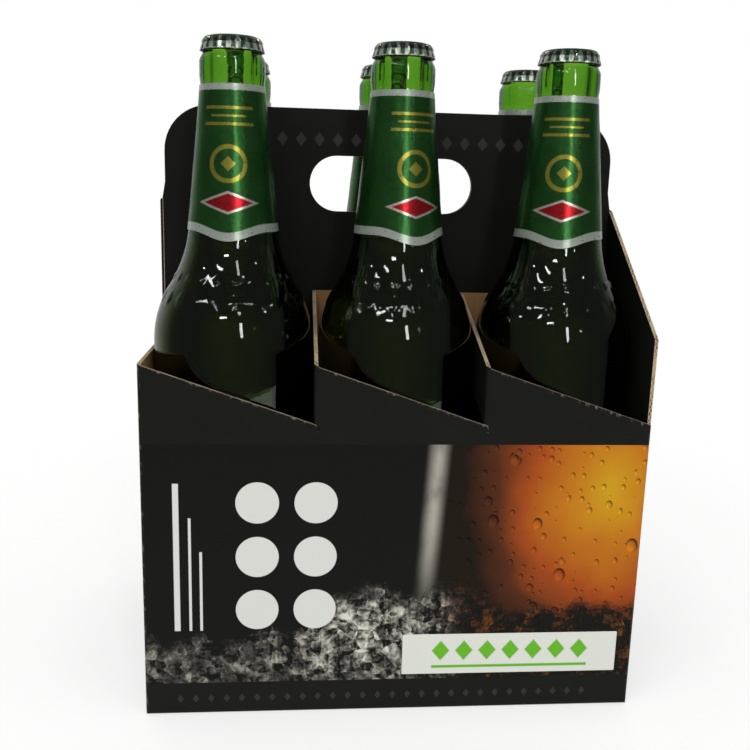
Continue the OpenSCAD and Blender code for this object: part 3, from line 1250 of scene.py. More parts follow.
def rounded(path: list[Place], step: float = 10.0, side: float = 1.6) -> list[Point]:
    """Rounds the corners of a path with arcs, limited by half of each side.

    Args:
        path: Corners as (x, y, radius).
        step: Largest angle between the points of an arc, in degrees.
        side: Largest distance between those points.

    Returns:
        Points of the rounded path, with its two ends as they were.
    """
    points: list[Point] = [path[0][:2]]
    for before, corner, after in zip(path, path[1:], path[2:]):
        b = Vector(corner[:2])
        to_before = Vector(before[:2]) - b
        to_after = Vector(after[:2]) - b
        half = to_before.angle(to_after) / 2
        cut = min(corner[2] / math.tan(half), to_before.length / 2, to_after.length / 2)
        if cut < TINY:
            points.append(tuple(b))
            continue
        radius = cut * math.tan(half)
        way_in = (to_before.normalized() + to_after.normalized()).normalized()
        centre = b + way_in * radius / math.sin(half)
        start = b + to_before.normalized() * cut - centre
        end = b + to_after.normalized() * cut - centre
        sweep = math.atan2(start.x * end.y - start.y * end.x, start.dot(end))
        by_angle = math.ceil(abs(math.degrees(sweep)) / step)
        steps = max(2, by_angle, math.ceil(abs(sweep) * radius / side))
        for i in range(steps + 1):
            turned = Matrix.Rotation(sweep * i / steps, 2) @ start
            points.append(tuple(centre + turned))
    points.append(path[-1][:2])
    return points


def refine(points: list[Point], longest: Callable[[float], float]) -> list[Point]:
    """Splits long sides of a half section.

    Args:
        points: The section as (radius, height).
        longest: Gives the longest side allowed at a height.

    Returns:
        The section with more points.
    """
    fine = [points[0]]
    for (r0, z0), (r1, z1) in zip(points, points[1:]):
        count = max(1, math.ceil(math.hypot(r1 - r0, z1 - z0) / longest((z0 + z1) / 2)))
        for i in range(1, count + 1):
            fine.append((r0 + (r1 - r0) * i / count, z0 + (z1 - z0) * i / count))
    return fine


def lathe(
    section: list[Point],
    segments: int,
    relief: Callable[[int, float, float], float] | None = None,
) -> bpy.types.Mesh:
    """Turns a half section about Z, with a sheet map of (way round, height) in millimetres.

    Args:
        section: Points (radius, height) in millimetres. A radius of zero is a pole.
        segments: Number of steps round the axis.
        relief: Gives what is added to the radius, from the point's index, angle and height.

    Returns:
        The mesh, in metres, whose angle 0 faces -Y and runs towards +X.
    """
    reference = max(radius for radius, _ in section)
    angles = [TURN * (i / segments - 0.5) for i in range(segments + 1)]
    vertices: list[Place] = []
    rings: list[list[int]] = []
    for index, (radius, height) in enumerate(section):
        start = len(vertices)
        if radius < TINY:
            vertices.append((0.0, 0.0, height * MM))
            rings.append([start] * (segments + 1))
            continue
        for angle in angles[:-1]:
            r = radius + (relief(index, angle, height) if relief else 0.0)
            vertices.append((r * MM * math.sin(angle), -r * MM * math.cos(angle), height * MM))
        rings.append(list(range(start, start + segments)) + [start])
    faces: list[list[int]] = []
    places: list[Point] = []
    for low, high, (_, z0), (_, z1) in zip(rings, rings[1:], section, section[1:]):
        for i in range(segments):
            corners = [(low[i], i, z0), (low[i + 1], i + 1, z0)]
            corners += [(high[i + 1], i + 1, z1), (high[i], i, z1)]
            if low[i] == low[i + 1]:
                corners.pop(1)
            elif high[i] == high[i + 1]:
                corners.pop(2)
            faces.append([corner[0] for corner in corners])
            places += [(angles[k] * reference, z) for _, k, z in corners]
    return sheet_mesh("lathe", vertices, faces, places)


def shell(
    name: str,
    skins: tuple[Grid, Grid],
    wraps: bool,
    sheet_place: Callable[[int, int], Point],
) -> bpy.types.Mesh:
    """Makes a thin closed shell between two skins of points.

    Args:
        name: The mesh's name.
        skins: Inner and outer skin, as rows of points in millimetres.
        wraps: Whether the last column joins the first.
        sheet_place: Gives the place on the sheet from a row and a column.

    Returns:
        The mesh, in metres.
    """
    rows, columns = len(skins[0]), len(skins[0][0])
    top, spans = rows - 1, columns if wraps else columns - 1
    corners: list[list[tuple[int, int, int]]] = []
    for j in range(top):
        for i in range(spans):
            corners.append([(1, j, i), (1, j, i + 1), (1, j + 1, i + 1), (1, j + 1, i)])
            corners.append([(0, j, i), (0, j + 1, i), (0, j + 1, i + 1), (0, j, i + 1)])
        if not wraps:
            corners.append([(0, j, 0), (1, j, 0), (1, j + 1, 0), (0, j + 1, 0)])
            corners.append([(1, j, spans), (0, j, spans), (0, j + 1, spans), (1, j + 1, spans)])
    for i in range(spans):
        corners.append([(0, 0, i), (0, 0, i + 1), (1, 0, i + 1), (1, 0, i)])
        corners.append([(1, top, i), (1, top, i + 1), (0, top, i + 1), (0, top, i)])
    vertices = [(x * MM, y * MM, z * MM) for skin in skins for row in skin for x, y, z in row]
    faces = [[(s * rows + j) * columns + i % columns for s, j, i in face] for face in corners]
    places = [sheet_place(j, i) for face in corners for _, j, i in face]
    return sheet_mesh(name, vertices, faces, places)


class BoardFace(Enum):
    """Finish of one face of the folded board."""

    PICTURE = 0
    PLAIN = 1
    HANDLE = 2
    KRAFT = 3
    EDGE = 4


@dataclass
class Carrier:
    """The folded board: takes the CAD form and gives each face its finish and sheet map."""

    board: float = 1.6
    slack: float = 0.05
    bevel: float = 0.14
    bevel_angle: float = 50.0
    flat_angle: float = 0.2
    fold_angle: float = 30.0
    edge_angle: float = 35.0
    # Least share of a normal along an axis for a face to look, or to lean, that way
    facing: float = 0.5
    leaning: float = 0.3
    weld: float = 0.001
    ink: BoardInk = field(default_factory=BoardInk)
    kraft: Kraft = field(default_factory=Kraft)
    edge: CutEdge = field(default_factory=CutEdge)

    def __post_init__(self) -> None:
        """Takes the outside sizes from the frame."""
        _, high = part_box("carrier")
        self.half_width = high.x / MM
        self.half_depth = high.y / MM
        self.pitch = (2 * self.half_width - self.board) / len(COLUMNS)

    def materials(self) -> list[bpy.types.Material]:
        """One material for each kind of face, in the order of BoardFace."""
        prints = [self.ink.picture(), self.ink.plain(), self.ink.handle()]
        return prints + [self.kraft.material(), self.edge.material()]

    def divider_side(self, x: float) -> float:
        """Distance from the printed side of the nearest divider strap to x, in millimetres.

        Args:
            x: Place across the pack, in millimetres.

        Returns:
            The signed distance.
        """
        columns = len(COLUMNS)
        sides = [(k - columns / 2) * self.pitch - self.board / 2 for k in range(1, columns)]
        return min((x - side for side in sides), key=abs)

    def face_kind(self, centre: Vector, normal: Vector) -> tuple[BoardFace, int]:
        """Finish of a face, and the axis that runs through its panel's thickness.

        Args:
            centre: Middle of the face, in millimetres, with the back half turned to the front.
            normal: Its normal, turned alike.

        Returns:
            The finish, and 0, 1 or 2 for a panel whose thickness lies along X, Y or Z.
        """
        t, slack = self.board, self.slack
        facing, leaning = self.facing, self.leaning
        from_divider = self.divider_side(centre.x)
        in_front = centre.y < t - self.half_depth + slack
        in_end = abs(centre.x) > self.half_width - t - slack
        if centre.z < 2 * t + slack and not in_front and not in_end:
            if abs(normal.z) < facing:
                return BoardFace.EDGE, 2
            return (BoardFace.KRAFT if normal.z > 0 else BoardFace.PLAIN), 2
        if in_front and normal.x < -facing and abs(from_divider) < 2 * t and centre.z > 0:
            return BoardFace.PLAIN, 1
        if in_front:
            if normal.y < -leaning:
                return BoardFace.PICTURE, 1
            if normal.y > facing:
                return BoardFace.KRAFT, 1
            return (BoardFace.PLAIN if normal.z < -facing else BoardFace.EDGE), 1
        if in_end:
            outwards = math.copysign(1.0, centre.x) * normal.x
            if outwards > leaning:
                return BoardFace.PLAIN, 0
            if outwards < -facing:
                return (BoardFace.PLAIN if centre.x > 0 else BoardFace.KRAFT), 0
            return BoardFace.EDGE, 0
        if centre.y > -t - slack:
            return (BoardFace.HANDLE if abs(normal.y) > facing else BoardFace.EDGE), 1
        if centre.y > -2 * t - slack and abs(normal.x) < facing:
            return (BoardFace.KRAFT if normal.y < -facing else BoardFace.EDGE), 1
        if abs(normal.x) > facing and -slack < from_divider < t + slack:
            return (BoardFace.PLAIN if normal.x < 0 else BoardFace.KRAFT), 0
        return BoardFace.EDGE, 0

    def sheet_place(self, kind: BoardFace, axis: int, normal: Vector, point: Vector) -> Point:
        """Place of a corner on its sheet.

        Args:
            kind: Finish of the face.
            axis: Axis through the panel's thickness.
            normal: Normal of the face.
            point: The corner, in millimetres, turned to the front half.

        Returns:
            Across and up in millimetres. For a cut edge, along in millimetres and across in plies.
        """
        if kind is BoardFace.EDGE:
            through = (self.half_width - abs(point.x), abs(point.y), point.z)[axis]
            if axis == 0 and abs(point.x) < self.half_width - 2 * self.board:
                through = self.divider_side(point.x)
            along = point.y if axis == 0 else point.x
            return along + (point.z if abs(normal.z) < self.facing else 0.0), through / self.board
        if axis == 2:
            return point.x, point.y
        return (point.y if axis == 0 else point.x), point.z

    def dress(self, shape: bmesh.types.BMesh) -> None:
        """Merges the CAD form's triangles, and gives each face its finish and sheet map.

        Args:
            shape: Editable copy of the CAD form.
        """
        bmesh.ops.remove_doubles(shape, verts=shape.verts, dist=self.weld * MM)
        flat = math.radians(self.flat_angle)
        bmesh.ops.dissolve_limit(shape, angle_limit=flat, verts=shape.verts, edges=shape.edges)
        everything = [*shape.verts, *shape.edges, *shape.faces]
        bmesh.ops.bisect_plane(
            shape, geom=everything, dist=TINY, plane_co=(0, 0, 0), plane_no=(0, 1, 0)
        )
        sheet = shape.loops.layers.uv.new(SHEET_MAP)
        for face in shape.faces:
            half = 1.0 if face.calc_center_median().y < 0 else -1.0
            turned = Matrix.Diagonal((half, half, 1.0))
            centre = turned @ face.calc_center_median() / MM
            normal = turned @ face.normal
            kind, axis = self.face_kind(centre, normal)
            face.material_index = kind.value
            for loop in face.loops:
                loop[sheet].uv = self.sheet_place(kind, axis, normal, turned @ loop.vert.co / MM)

    def mend(self, shape: bmesh.types.BMesh) -> None:
        """Takes out the flat triangles that the bevel leaves in tight corners."""
        bmesh.ops.dissolve_degenerate(shape, dist=self.weld * MM, edges=shape.edges)

    def build(self) -> bpy.types.Object:
        """Makes the board from a merged copy of the CAD form.

        Returns:
            The finished piece.
        """
        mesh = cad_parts["carrier"].data.copy()
        mesh.materials.clear()
        reshape(mesh, self.dress)
        for material in self.materials():
            mesh.materials.append(material)
        smooth(mesh, self.fold_angle)
        piece = new_piece(mesh, "board")
        soft = piece.modifiers.new("soft edges", "BEVEL")
        soft.width = self.bevel * MM
        soft.segments = 2
        soft.limit_method = "ANGLE"
        soft.angle_limit = math.radians(self.bevel_angle)
        bake(piece)
        reshape(piece.data, self.mend)
        smooth(piece.data, self.edge_angle)
        even = piece.modifiers.new("even shading", "WEIGHTED_NORMAL")
        even.keep_sharp = True
        bake(piece)
        hand_over(piece, "carrier", "printed_board")
        return piece


@dataclass
class Bottle:
    """One long-neck bottle with its filling and labels, in millimetres above the glass's foot."""

    body_r: float = 36.3
    height: float = 299.0
    wall: float = 3.4
    base: float = 4.5
    heel: float = 6.0
    shoulder: float = 179.0
    shoulder_round: float = 47.0
    neck_foot: float = 205.0
    neck_foot_r: float = 21.4
    neck_round: float = 60.0
    neck_top: float = 280.0
    neck_top_r: float = 14.0
    neck_top_round: float = 1.2
    punt: float = 5.0
    punt_r: float = 27.0
    punt_round: float = 3.0
    punt_turn: float = 20.0
    punt_flat_share: float = 0.4
    collar_r: float = 14.4
    collar_flare: float = 3.48
    collar_taper: float = 3.22
    collar_round: float = 4.5
    groove_foot: float = 293.4
    groove_r: float = 12.6
    groove_round: float = 0.4
    lip_r: float = 13.3
    lip_foot: float = 294.6
    lip_slope: float = 0.66
    lip_round: float = 1.5
    bore_r: float = 8.8
    bore_round: float = 1.2
    bore_turn: float = 30.0
    fill: float = 233.0
    fill_climb: float = 1.2
    fill_power: int = 6
    fill_shares: tuple[float, ...] = (0.0, 0.5, 0.75, 0.9, 1.0)
    fill_side: float = 9.0
    fill_arc_side: float = 3.0
    beer_overlap: float = 0.1
    segments: int = 192
    plain_side: float = 12.0
    emboss_side: float = 0.9
    emboss_low: float = 176.0
    emboss_high: float = 206.0
    emboss_show: float = 0.42
    emboss_steep: float = 2.8
    emboss_count: int = 22
    diamond_middle: float = 187.5
    diamond_half: Point = (2.7, 4.2)
    bead_middle: float = 196.5
    bead_r: float = 1.7
    glue: float = 0.05
    foil: float = 0.2
    foil_columns: int = 120
    foil_rows: int = 26
    foil_pucker: float = 0.22
    foil_pucker_rate: Point = (3.0, 0.12)
    foil_lift: float = 0.25
    foil_lift_rate: float = 2.0
    foil_lift_high: float = 5.0
    label_top: float = 279.5
    label_foot: float = 217.0
    label_dip: float = 4.0
    label_dip_half: float = 17.0
    paper: float = 0.15
    paper_half: float = 31.0
    paper_foot: float = 40.0
    paper_high: float = 92.0
    paper_corner: float = 6.0
    paper_columns: int = 32
    paper_rows: int = 12
    paper_corner_rows: int = 8

    def outside(self) -> list[Place]:
        """Corners of the glass outside, from the middle of the base to the lip, with radii.

        Returns:
            Corners as (radius, height, rounding).
        """
        return [
            (0.0, self.punt, 0.0),
            (self.punt_flat_share * self.punt_r, self.punt, self.punt_turn),
            (self.punt_r, 0.0, self.punt_round),
            (self.body_r, 0.0, self.heel),
            (self.body_r, self.shoulder, self.shoulder_round),
            (self.neck_foot_r, self.neck_foot, self.neck_round),
            (self.neck_top_r, self.neck_top, self.neck_top_round),
            (self.collar_r, self.neck_top + self.collar_flare, self.collar_round),
            (self.collar_r, self.groove_foot - self.collar_taper, self.collar_round),
            (self.groove_r, self.groove_foot, self.groove_round),
            (self.groove_r, self.lip_foot, self.groove_round),
            (self.lip_r, self.lip_foot + self.lip_slope, self.groove_round),
            (self.lip_r, self.height, self.lip_round),
        ]

    def inside(self, inset: float) -> list[Place]:
        """Corners of the hollow, from the bore down to the middle of the base.

        Args:
            inset: Distance in from the glass outside.

        Returns:
            Corners as (radius, height, rounding).
        """
        shift = inset - self.wall
        corners = [
            Vector((self.body_r, 0.0)),
            Vector((self.body_r, self.shoulder)),
            Vector((self.neck_foot_r, self.neck_foot)),
            Vector((self.neck_top_r, self.neck_top)),
        ]
        moved = []
        for a, b, c in zip(corners, corners[1:], corners[2:]):
            m = (b - a).normalized().orthogonal()
            n = (c - b).normalized().orthogonal()
            moved.append(b + inset * (m + n) / (1 + m.dot(n)))
        shoulder, neck = moved
        floor = self.base + shift
        return [
            (self.bore_r - shift, self.height, 0.0),
            (self.bore_r - shift, self.neck_top, self.bore_turn),
            (neck.x, neck.y, self.neck_round + inset),
            (shoulder.x, shoulder.y, self.shoulder_round - inset),
            (self.body_r - inset, floor, self.heel),
            (self.punt_r, floor, self.punt_round),
            (self.punt_flat_share * self.punt_r, self.punt + floor, self.punt_turn),
            (0.0, self.punt + floor, 0.0),
        ]

    def outside_radius(self, height: float) -> float:
        """Radius of the glass outside at a height, in millimetres.

        Args:
            height: Height above the foot.

        Returns:
            The radius.
        """
        points = rounded(self.outside())
        for (r0, z0), (r1, z1) in zip(points, points[1:]):
            if z0 <= height <= z1 and z1 > z0 and r0 > self.punt_r / 3:
                return r0 + (r1 - r0) * (height - z0) / (z1 - z0)
        return self.body_r

    def emboss(self, angle: float, height: float) -> float:
        """Height of the shoulder's raised ornament: a ring of diamonds under a ring of beads.

        Args:
            angle: Way round the bottle, in radians.
            height: Height above the foot.

        Returns:
            What the ornament adds to the radius.
        """
        if not self.emboss_low < height < self.emboss_high:
            return 0.0
        radius = self.outside_radius(height)
        step = TURN / self.emboss_count
        across = ((angle + TURN) % step - step / 2) * radius
        wide, high = self.diamond_half
        diamond = 1 - abs(across) / wide - abs(height - self.diamond_middle) / high
        bead = 1 - math.hypot(across, height - self.bead_middle) / self.bead_r
        return self.emboss_show * min(1.0, self.emboss_steep * max(0.0, diamond, bead))

    def glass_mesh(self) -> bpy.types.Mesh:
        """Closed shell of the glass, with the ornament raised on its shoulder.

        Returns:
            The mesh, on the bottle's axis.
        """
        def longest(height: float) -> float:
            """Longest side of the section at a height."""
            embossed = self.emboss_low < height < self.emboss_high
            return self.emboss_side if embossed else self.plain_side

        def relief(index: int, angle: float, height: float) -> float:
            """Ornament on the outside only."""
            return self.emboss(angle, height) if index < len(outside) else 0.0

        bore_edge = (self.bore_r, self.height, self.bore_round)
        points = rounded(self.outside() + [bore_edge] + self.inside(self.wall)[1:])
        lip = max(range(len(points)), key=lambda i: points[i][1])
        outside = refine(points[:lip + 1], longest)
        inside = refine(points[lip:], lambda height: self.plain_side)
        return lathe(outside + inside[1:], self.segments, relief)

    def beer_mesh(self) -> bpy.types.Mesh:
        """Filling up to the neck, with a surface that climbs the glass a little.

        Returns:
            The mesh, on the bottle's axis.
        """
        points = rounded(self.inside(self.wall - self.beer_overlap), side=self.fill_arc_side)
        wall = [point for point in points if point[1] <= self.fill]
        edge_r = wall[0][0]
        surface = [
            (edge_r * share, self.fill - self.fill_climb * (1 - share ** self.fill_power))
            for share in self.fill_shares
        ]
        section = list(reversed(surface + wall))
        return lathe(refine(section, lambda height: self.fill_side), self.segments // 2)

    def label_edge(self, angle: float) -> float:
        """Height of the neck label's lower edge at an angle.

        Args:
            angle: Way round the bottle, in radians.

        Returns:
            The height above the foot.
        """
        across = self.outside_radius(self.label_foot) * math.sin(angle)
        share = min(1.0, abs(across) / self.label_dip_half)
        return self.label_foot - self.label_dip * (1 + math.cos(math.pi * share)) / 2

    def neck_label_mesh(self) -> bpy.types.Mesh:
        """Foil round the neck: a thin closed shell with a dipping lower edge.

        Returns:
            The mesh, with each point's height above the label's lower edge.
        """
        columns, rows = self.foil_columns, self.foil_rows
        round_rate, up_rate = self.foil_pucker_rate
        angles = [TURN * (i / columns - 0.5) for i in range(columns + 1)]
        middle_r = self.outside_radius((self.label_foot + self.label_top) / 2)
        skins: tuple[Grid, Grid] = ([], [])
        above: list[float] = []
        for j in range(rows + 1):
            rings: tuple[list[Place], list[Place]] = ([], [])
            for angle in angles[:-1]:
                low = self.label_edge(angle)
                z = low + (self.label_top - low) * j / rows
                spot = Vector((angle * round_rate, z * up_rate, 7.0))
                puckered = max(0.0, noise.noise(spot))
                loose = max(0.0, 1 - (z - low) / self.foil_lift_high)
                edge_spot = Vector((angle * self.foil_lift_rate, 3.0, 1.0))
                lifted = loose * abs(noise.noise(edge_spot))
                r = self.outside_radius(z) + self.glue
                r += self.foil_pucker * puckered + self.foil_lift * lifted
                above.append(z - low)
                for ring, thick in zip(rings, (0.0, self.foil)):
                    out = r + thick
                    ring.append((out * math.sin(angle), -out * math.cos(angle), z))
            for skin, ring in zip(skins, rings):
                skin.append(ring)
        mesh = shell(
            "neck_foil",
            skins,
            wraps=True,
            sheet_place=lambda j, i: (angles[i] * middle_r, skins[0][j][i % columns][2]),
        )
        attribute = mesh.attributes.new("above_edge", "FLOAT", "POINT")
        attribute.data.foreach_set("value", above * len(skins))
        return mesh

    def body_label_mesh(self) -> bpy.types.Mesh:
        """Paper label bent round the body: a thin closed shell with round corners.

        Returns:
            The mesh, on the bottle's axis.
        """
        corner, steps, columns = self.paper_corner, self.paper_corner_rows, self.paper_columns
        low, high = self.paper_foot + corner, self.paper_foot + self.paper_high - corner
        turns = [math.pi / 2 * k / steps for k in range(steps + 1)]
        heights = [low - corner * math.cos(turn) for turn in turns[:-1]]
        heights += [low + (high - low) * k / self.paper_rows for k in range(self.paper_rows + 1)]
        heights += [high + corner * math.sin(turn) for turn in turns[1:]]
        skins: tuple[Grid, Grid] = ([], [])
        for skin, r in zip(skins, (self.body_r + self.glue, self.body_r + self.glue + self.paper)):
            for z in heights:
                into = max(0.0, low - z, z - high)
                wide = self.paper_half - corner + math.sqrt(max(0.0, corner ** 2 - into ** 2))
                ring = []
                for i in range(columns + 1):
                    across = wide * math.sin(math.pi * (i / columns - 0.5))
                    ring.append((across, -math.sqrt(r * r - across * across), z))
                skin.append(ring)
        return shell(
            "body_paper",
            skins,
            wraps=False,
            sheet_place=lambda j, i: (skins[0][j][i][0], skins[0][j][i][2]),
        )


@dataclass
class CrownCap:
    """Crown cap pressed from sheet metal, made by a node tree, in millimetres above its rim."""

    rim_r: float = 14.3
    foot_r: float = 13.5
    crown_r: float = 12.7
    edge_r: float = 1.6
    height: float = 6.0
    sheet: float = 0.25
    flutes: int = 21
    crest_power: float = 0.75
    crest_blend: float = 0.3
    top_share: float = 0.9
    weld: float = 0.002
    steps: int = 8
    rows: int = 30
    foot: float = 293.85
    sharp_angle: float = 60.0
    skirt_search: Point = (40.0, 89.9)
    search_steps: int = 40

    def skirt_angle(self) -> float:
        """Angle from level at which a straight skirt from the crown's edge meets the rim.

        Returns:
            The angle, in radians.
        """
        low, high = (math.radians(angle) for angle in self.skirt_search)
        for _ in range(self.search_steps):
            angle = (low + high) / 2
            drop = self.height - self.edge_r * (1 - math.cos(angle))
            reach = self.crown_r + self.edge_r * (math.sin(angle) - 1) + drop / math.tan(angle)
            low, high = (angle, high) if reach > self.rim_r else (low, angle)
        return (low + high) / 2

    def skirt_length(self) -> float:
        """Length of the straight skirt."""
        angle = self.skirt_angle()
        return (self.height - self.edge_r * (1 - math.cos(angle))) / math.sin(angle)

    def sizes(self) -> dict[str, float]:
        """Inputs of the tree, in metres and radians.

        Returns:
            Value of each input by its name.
        """
        return {
            "Top Radius": (self.crown_r - self.edge_r) * MM,
            "Edge Radius": self.edge_r * MM,
            "Height": self.height * MM,
            "Skirt Angle": self.skirt_angle(),
            "Skirt Length": self.skirt_length() * MM,
            "Rim Radius": self.rim_r * MM,
            "Foot Radius": self.foot_r * MM,
            "Sheet": self.sheet * MM,
            "Flutes": float(self.flutes),
        }

    def tree(self, material: bpy.types.Material) -> tuple[bpy.types.NodeTree, dict[str, str]]:
        """Builds the tree: a grid whose columns go round and whose rows follow the section.

        Args:
            material: The cap's material.

        Returns:
            The tree, and the identifier of each named input.
        """
        tree = bpy.data.node_groups.new("crown_cap", "GeometryNodeTree")
        tree.interface.new_socket("Geometry", in_out="OUTPUT", socket_type="NodeSocketGeometry")
        names = {}
        for name in self.sizes():
            item = tree.interface.new_socket(name, in_out="INPUT", socket_type="NodeSocketFloat")
            names[name] = item.identifier
        n = Nodes(tree)
        given = n.node("NodeGroupInput").outputs
        top_r, edge_r = given["Top Radius"], given["Edge Radius"]
        skirt_angle, foot_r = given["Skirt Angle"], given["Foot Radius"]
        grid = n.node("GeometryNodeMeshGrid", {
            "Size X": 1.0,
            "Size Y": 1.0,
            "Vertices X": self.flutes * self.steps + 1,
            "Vertices Y": self.rows * 2 + 1,
        })
        x, y, _ = n.split(n.node("GeometryNodeInputPosition").outputs[0])
        angle = n.times(x, TURN)
        inset = n.times(n.math("GREATER_THAN", y, TINY), given["Sheet"])
        along = n.subtract(1.0, n.times(n.size(y), 2.0))
        arc = n.times(edge_r, skirt_angle)
        way = n.times(along, n.add(n.add(top_r, arc), given["Skirt Length"]))
        past_top = n.most(n.subtract(way, top_r), 0.0)
        bend = n.math("MINIMUM", n.over(past_top, edge_r), skirt_angle)
        down = n.most(n.subtract(past_top, arc), 0.0)
        radius = n.add(n.math("MINIMUM", way, top_r), n.times(edge_r, n.math("SINE", bend)))
        radius = n.line(down, n.math("COSINE", skirt_angle), radius)
        fall = n.times(edge_r, n.subtract(1.0, n.math("COSINE", bend)))
        fall = n.line(down, n.math("SINE", skirt_angle), fall)
        swing = n.line(n.math("COSINE", n.times(angle, given["Flutes"])), 0.5, 0.5)
        crest = n.math("POWER", swing, self.crest_power)
        fluted = n.line(crest, n.subtract(given["Rim Radius"], foot_r), foot_r)
        radius = n.math("SMOOTH_MIN", radius, fluted, self.crest_blend * MM)
        radius = n.most(n.subtract(radius, inset), 0.0)
        fall = n.line(inset, n.math("LESS_THAN", along, self.top_share), fall)
        place = n.vector(
            n.times(radius, n.math("SINE", angle)),
            n.times(radius, n.times(n.math("COSINE", angle), -1.0)),
            n.subtract(given["Height"], fall),
        )
        geometry = grid.outputs["Mesh"]
        for name, value in (("skirt", along), ("crest", crest)):
            inputs = {"Geometry": geometry, "Name": name, "Value": value}
            kind = "GeometryNodeStoreNamedAttribute"
            geometry = n.node(kind, inputs, data_type="FLOAT", domain="POINT").outputs[0]
        for kind, inputs in (
            ("GeometryNodeSetPosition", {"Position": place}),
            ("GeometryNodeMergeByDistance", {"Distance": self.weld * MM}),
            ("GeometryNodeRealizeInstances", {}),
            ("GeometryNodeSetMaterial", {"Material": material}),
        ):
            geometry = n.node(kind, {"Geometry": geometry, **inputs}).outputs[0]
        n.node("NodeGroupOutput", {0: geometry})
        return tree, names

    def mesh(self, material: bpy.types.Material) -> bpy.types.Mesh:
        """Evaluates the tree once.

        Args:
            material: The cap's material.

        Returns:
            A plain mesh on the bottle's axis, at its height above the foot of the glass.
        """
        def turn_out(shape: bmesh.types.BMesh) -> None:
            """Makes all faces look outwards."""
            bmesh.ops.recalc_face_normals(shape, faces=shape.faces)

        tree, names = self.tree(material)
        piece = new_piece(bpy.data.meshes.new("crown"), "crown")
        modifier = piece.modifiers.new("crown", "NODES")
        modifier.node_group = tree
        for name, value in self.sizes().items():
            modifier[names[name]] = value
        bake(piece)
        mesh = piece.data
        bpy.data.objects.remove(piece)
        reshape(mesh, turn_out)
        mesh.transform(Matrix.Translation((0.0, 0.0, self.foot * MM)))
        smooth(mesh, self.sharp_angle)
        return mesh


@dataclass
class Pack:
    """Six dressed bottles, each standing where its CAD nodes stand."""

    bottle: Bottle = field(default_factory=Bottle)
    cap: CrownCap = field(default_factory=CrownCap)
    label_turns: Place = (-3.0, 17.0, -13.0)

    def build(self) -> None:
        """Makes each form once and stands a copy of it in each cell."""
        bottle = self.bottle
        finishes = (GreenGlass(), AmberBeer(), CapLacquer(), NeckFoil(), BodyPaper())
        glass, beer, lacquer, foil, paper = (finish.material() for finish in finishes)
        forms = (
            ("bottle", "glass", "green_glass", glass, bottle.glass_mesh()),
            ("beer", "filling", "beer", beer, bottle.beer_mesh()),
            ("cap", "crown", "cap_metal", lacquer, self.cap.mesh(lacquer)),
            ("neck_label", "neck_foil", "neck_foil", foil, bottle.neck_label_mesh()),
            ("body_label", "body_paper", "body_paper", paper, bottle.body_label_mesh()),
        )
        liner = LinerPlastic().material()
        for row_index, row in enumerate(ROWS):
            for column_index, column in enumerate(COLUMNS):
                place = f"{row}_{column}"
                stand = self.stand(place, row_index, column_index)
                for kind, name, slot, material, mesh in forms:
                    copy = mesh.copy()
                    copy.transform(stand)
                    piece = new_piece(copy, f"{name}_{place}", material)
                    hand_over(piece, f"{kind}_{place}", slot)
                self.dress_liner(f"cap_liner_{place}", liner)
        for *_, mesh in forms:
            bpy.data.meshes.remove(mesh)

    def stand(self, place: str, row: int, column: int) -> Matrix:
        """Where one bottle stands, and how its labels are turned.

        Args:
            place: Name of the cell.
            row: 0 for the front row and 1 for the back.
            column: 0, 1 or 2 from the left.

        Returns:
            The matrix that stands a form in that cell.
        """
        low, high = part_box(f"bottle_{place}")
        foot = Vector(((low.x + high.x) / 2, (low.y + high.y) / 2, low.z))
        turn = math.radians(self.label_turns[column] + 180.0 * row)
        return Matrix.Translation(foot) @ Matrix.Rotation(turn, 4, "Z")

    def dress_liner(self, name: str, material: bpy.types.Material) -> None:
        """Gives a CAD liner its plastic.

        Args:
            name: Name of the CAD node.
            material: Its plastic.
        """
        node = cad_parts[name]
        node.data.materials.clear()
        node.data.materials.append(material)
        LOG.info("%s keeps its CAD form", name)


@dataclass(frozen=True)
class Lamp:
    """A rectangular lamp that faces the middle of the object.

    Attributes:
        name: Name of the lamp.
        place: Where it hangs, in metres.
        size: Its width and height, in metres.
        watts: Its power.
        tilt: Turn about its own beam, in degrees.
        seen: Whether it shows in reflections.
        aim: The point that it faces, in metres.
    """

    name: str
    place: Place
    size: Point
    watts: float
    tilt: float = 0.0
    seen: bool = True
    aim: Place = (0.0, 0.0, 0.17)

    def build(self) -> None:
        """Hangs the lamp."""
        data = bpy.data.lights.new(self.name, "AREA")
        data.shape = "RECTANGLE"
        data.size, data.size_y = self.size
        data.energy = self.watts
        lamp = bpy.data.objects.new(self.name, data)
        beam = (Vector(self.aim) - Vector(self.place)).to_track_quat("-Z", "Y")
        turn = beam.to_matrix().to_4x4() @ Matrix.Rotation(math.radians(self.tilt), 4, "Z")
        lamp.matrix_world = Matrix.Translation(self.place) @ turn
        lamp.visible_glossy = self.seen
        lamp.visible_transmission = False
        bpy.context.scene.collection.objects.link(lamp)


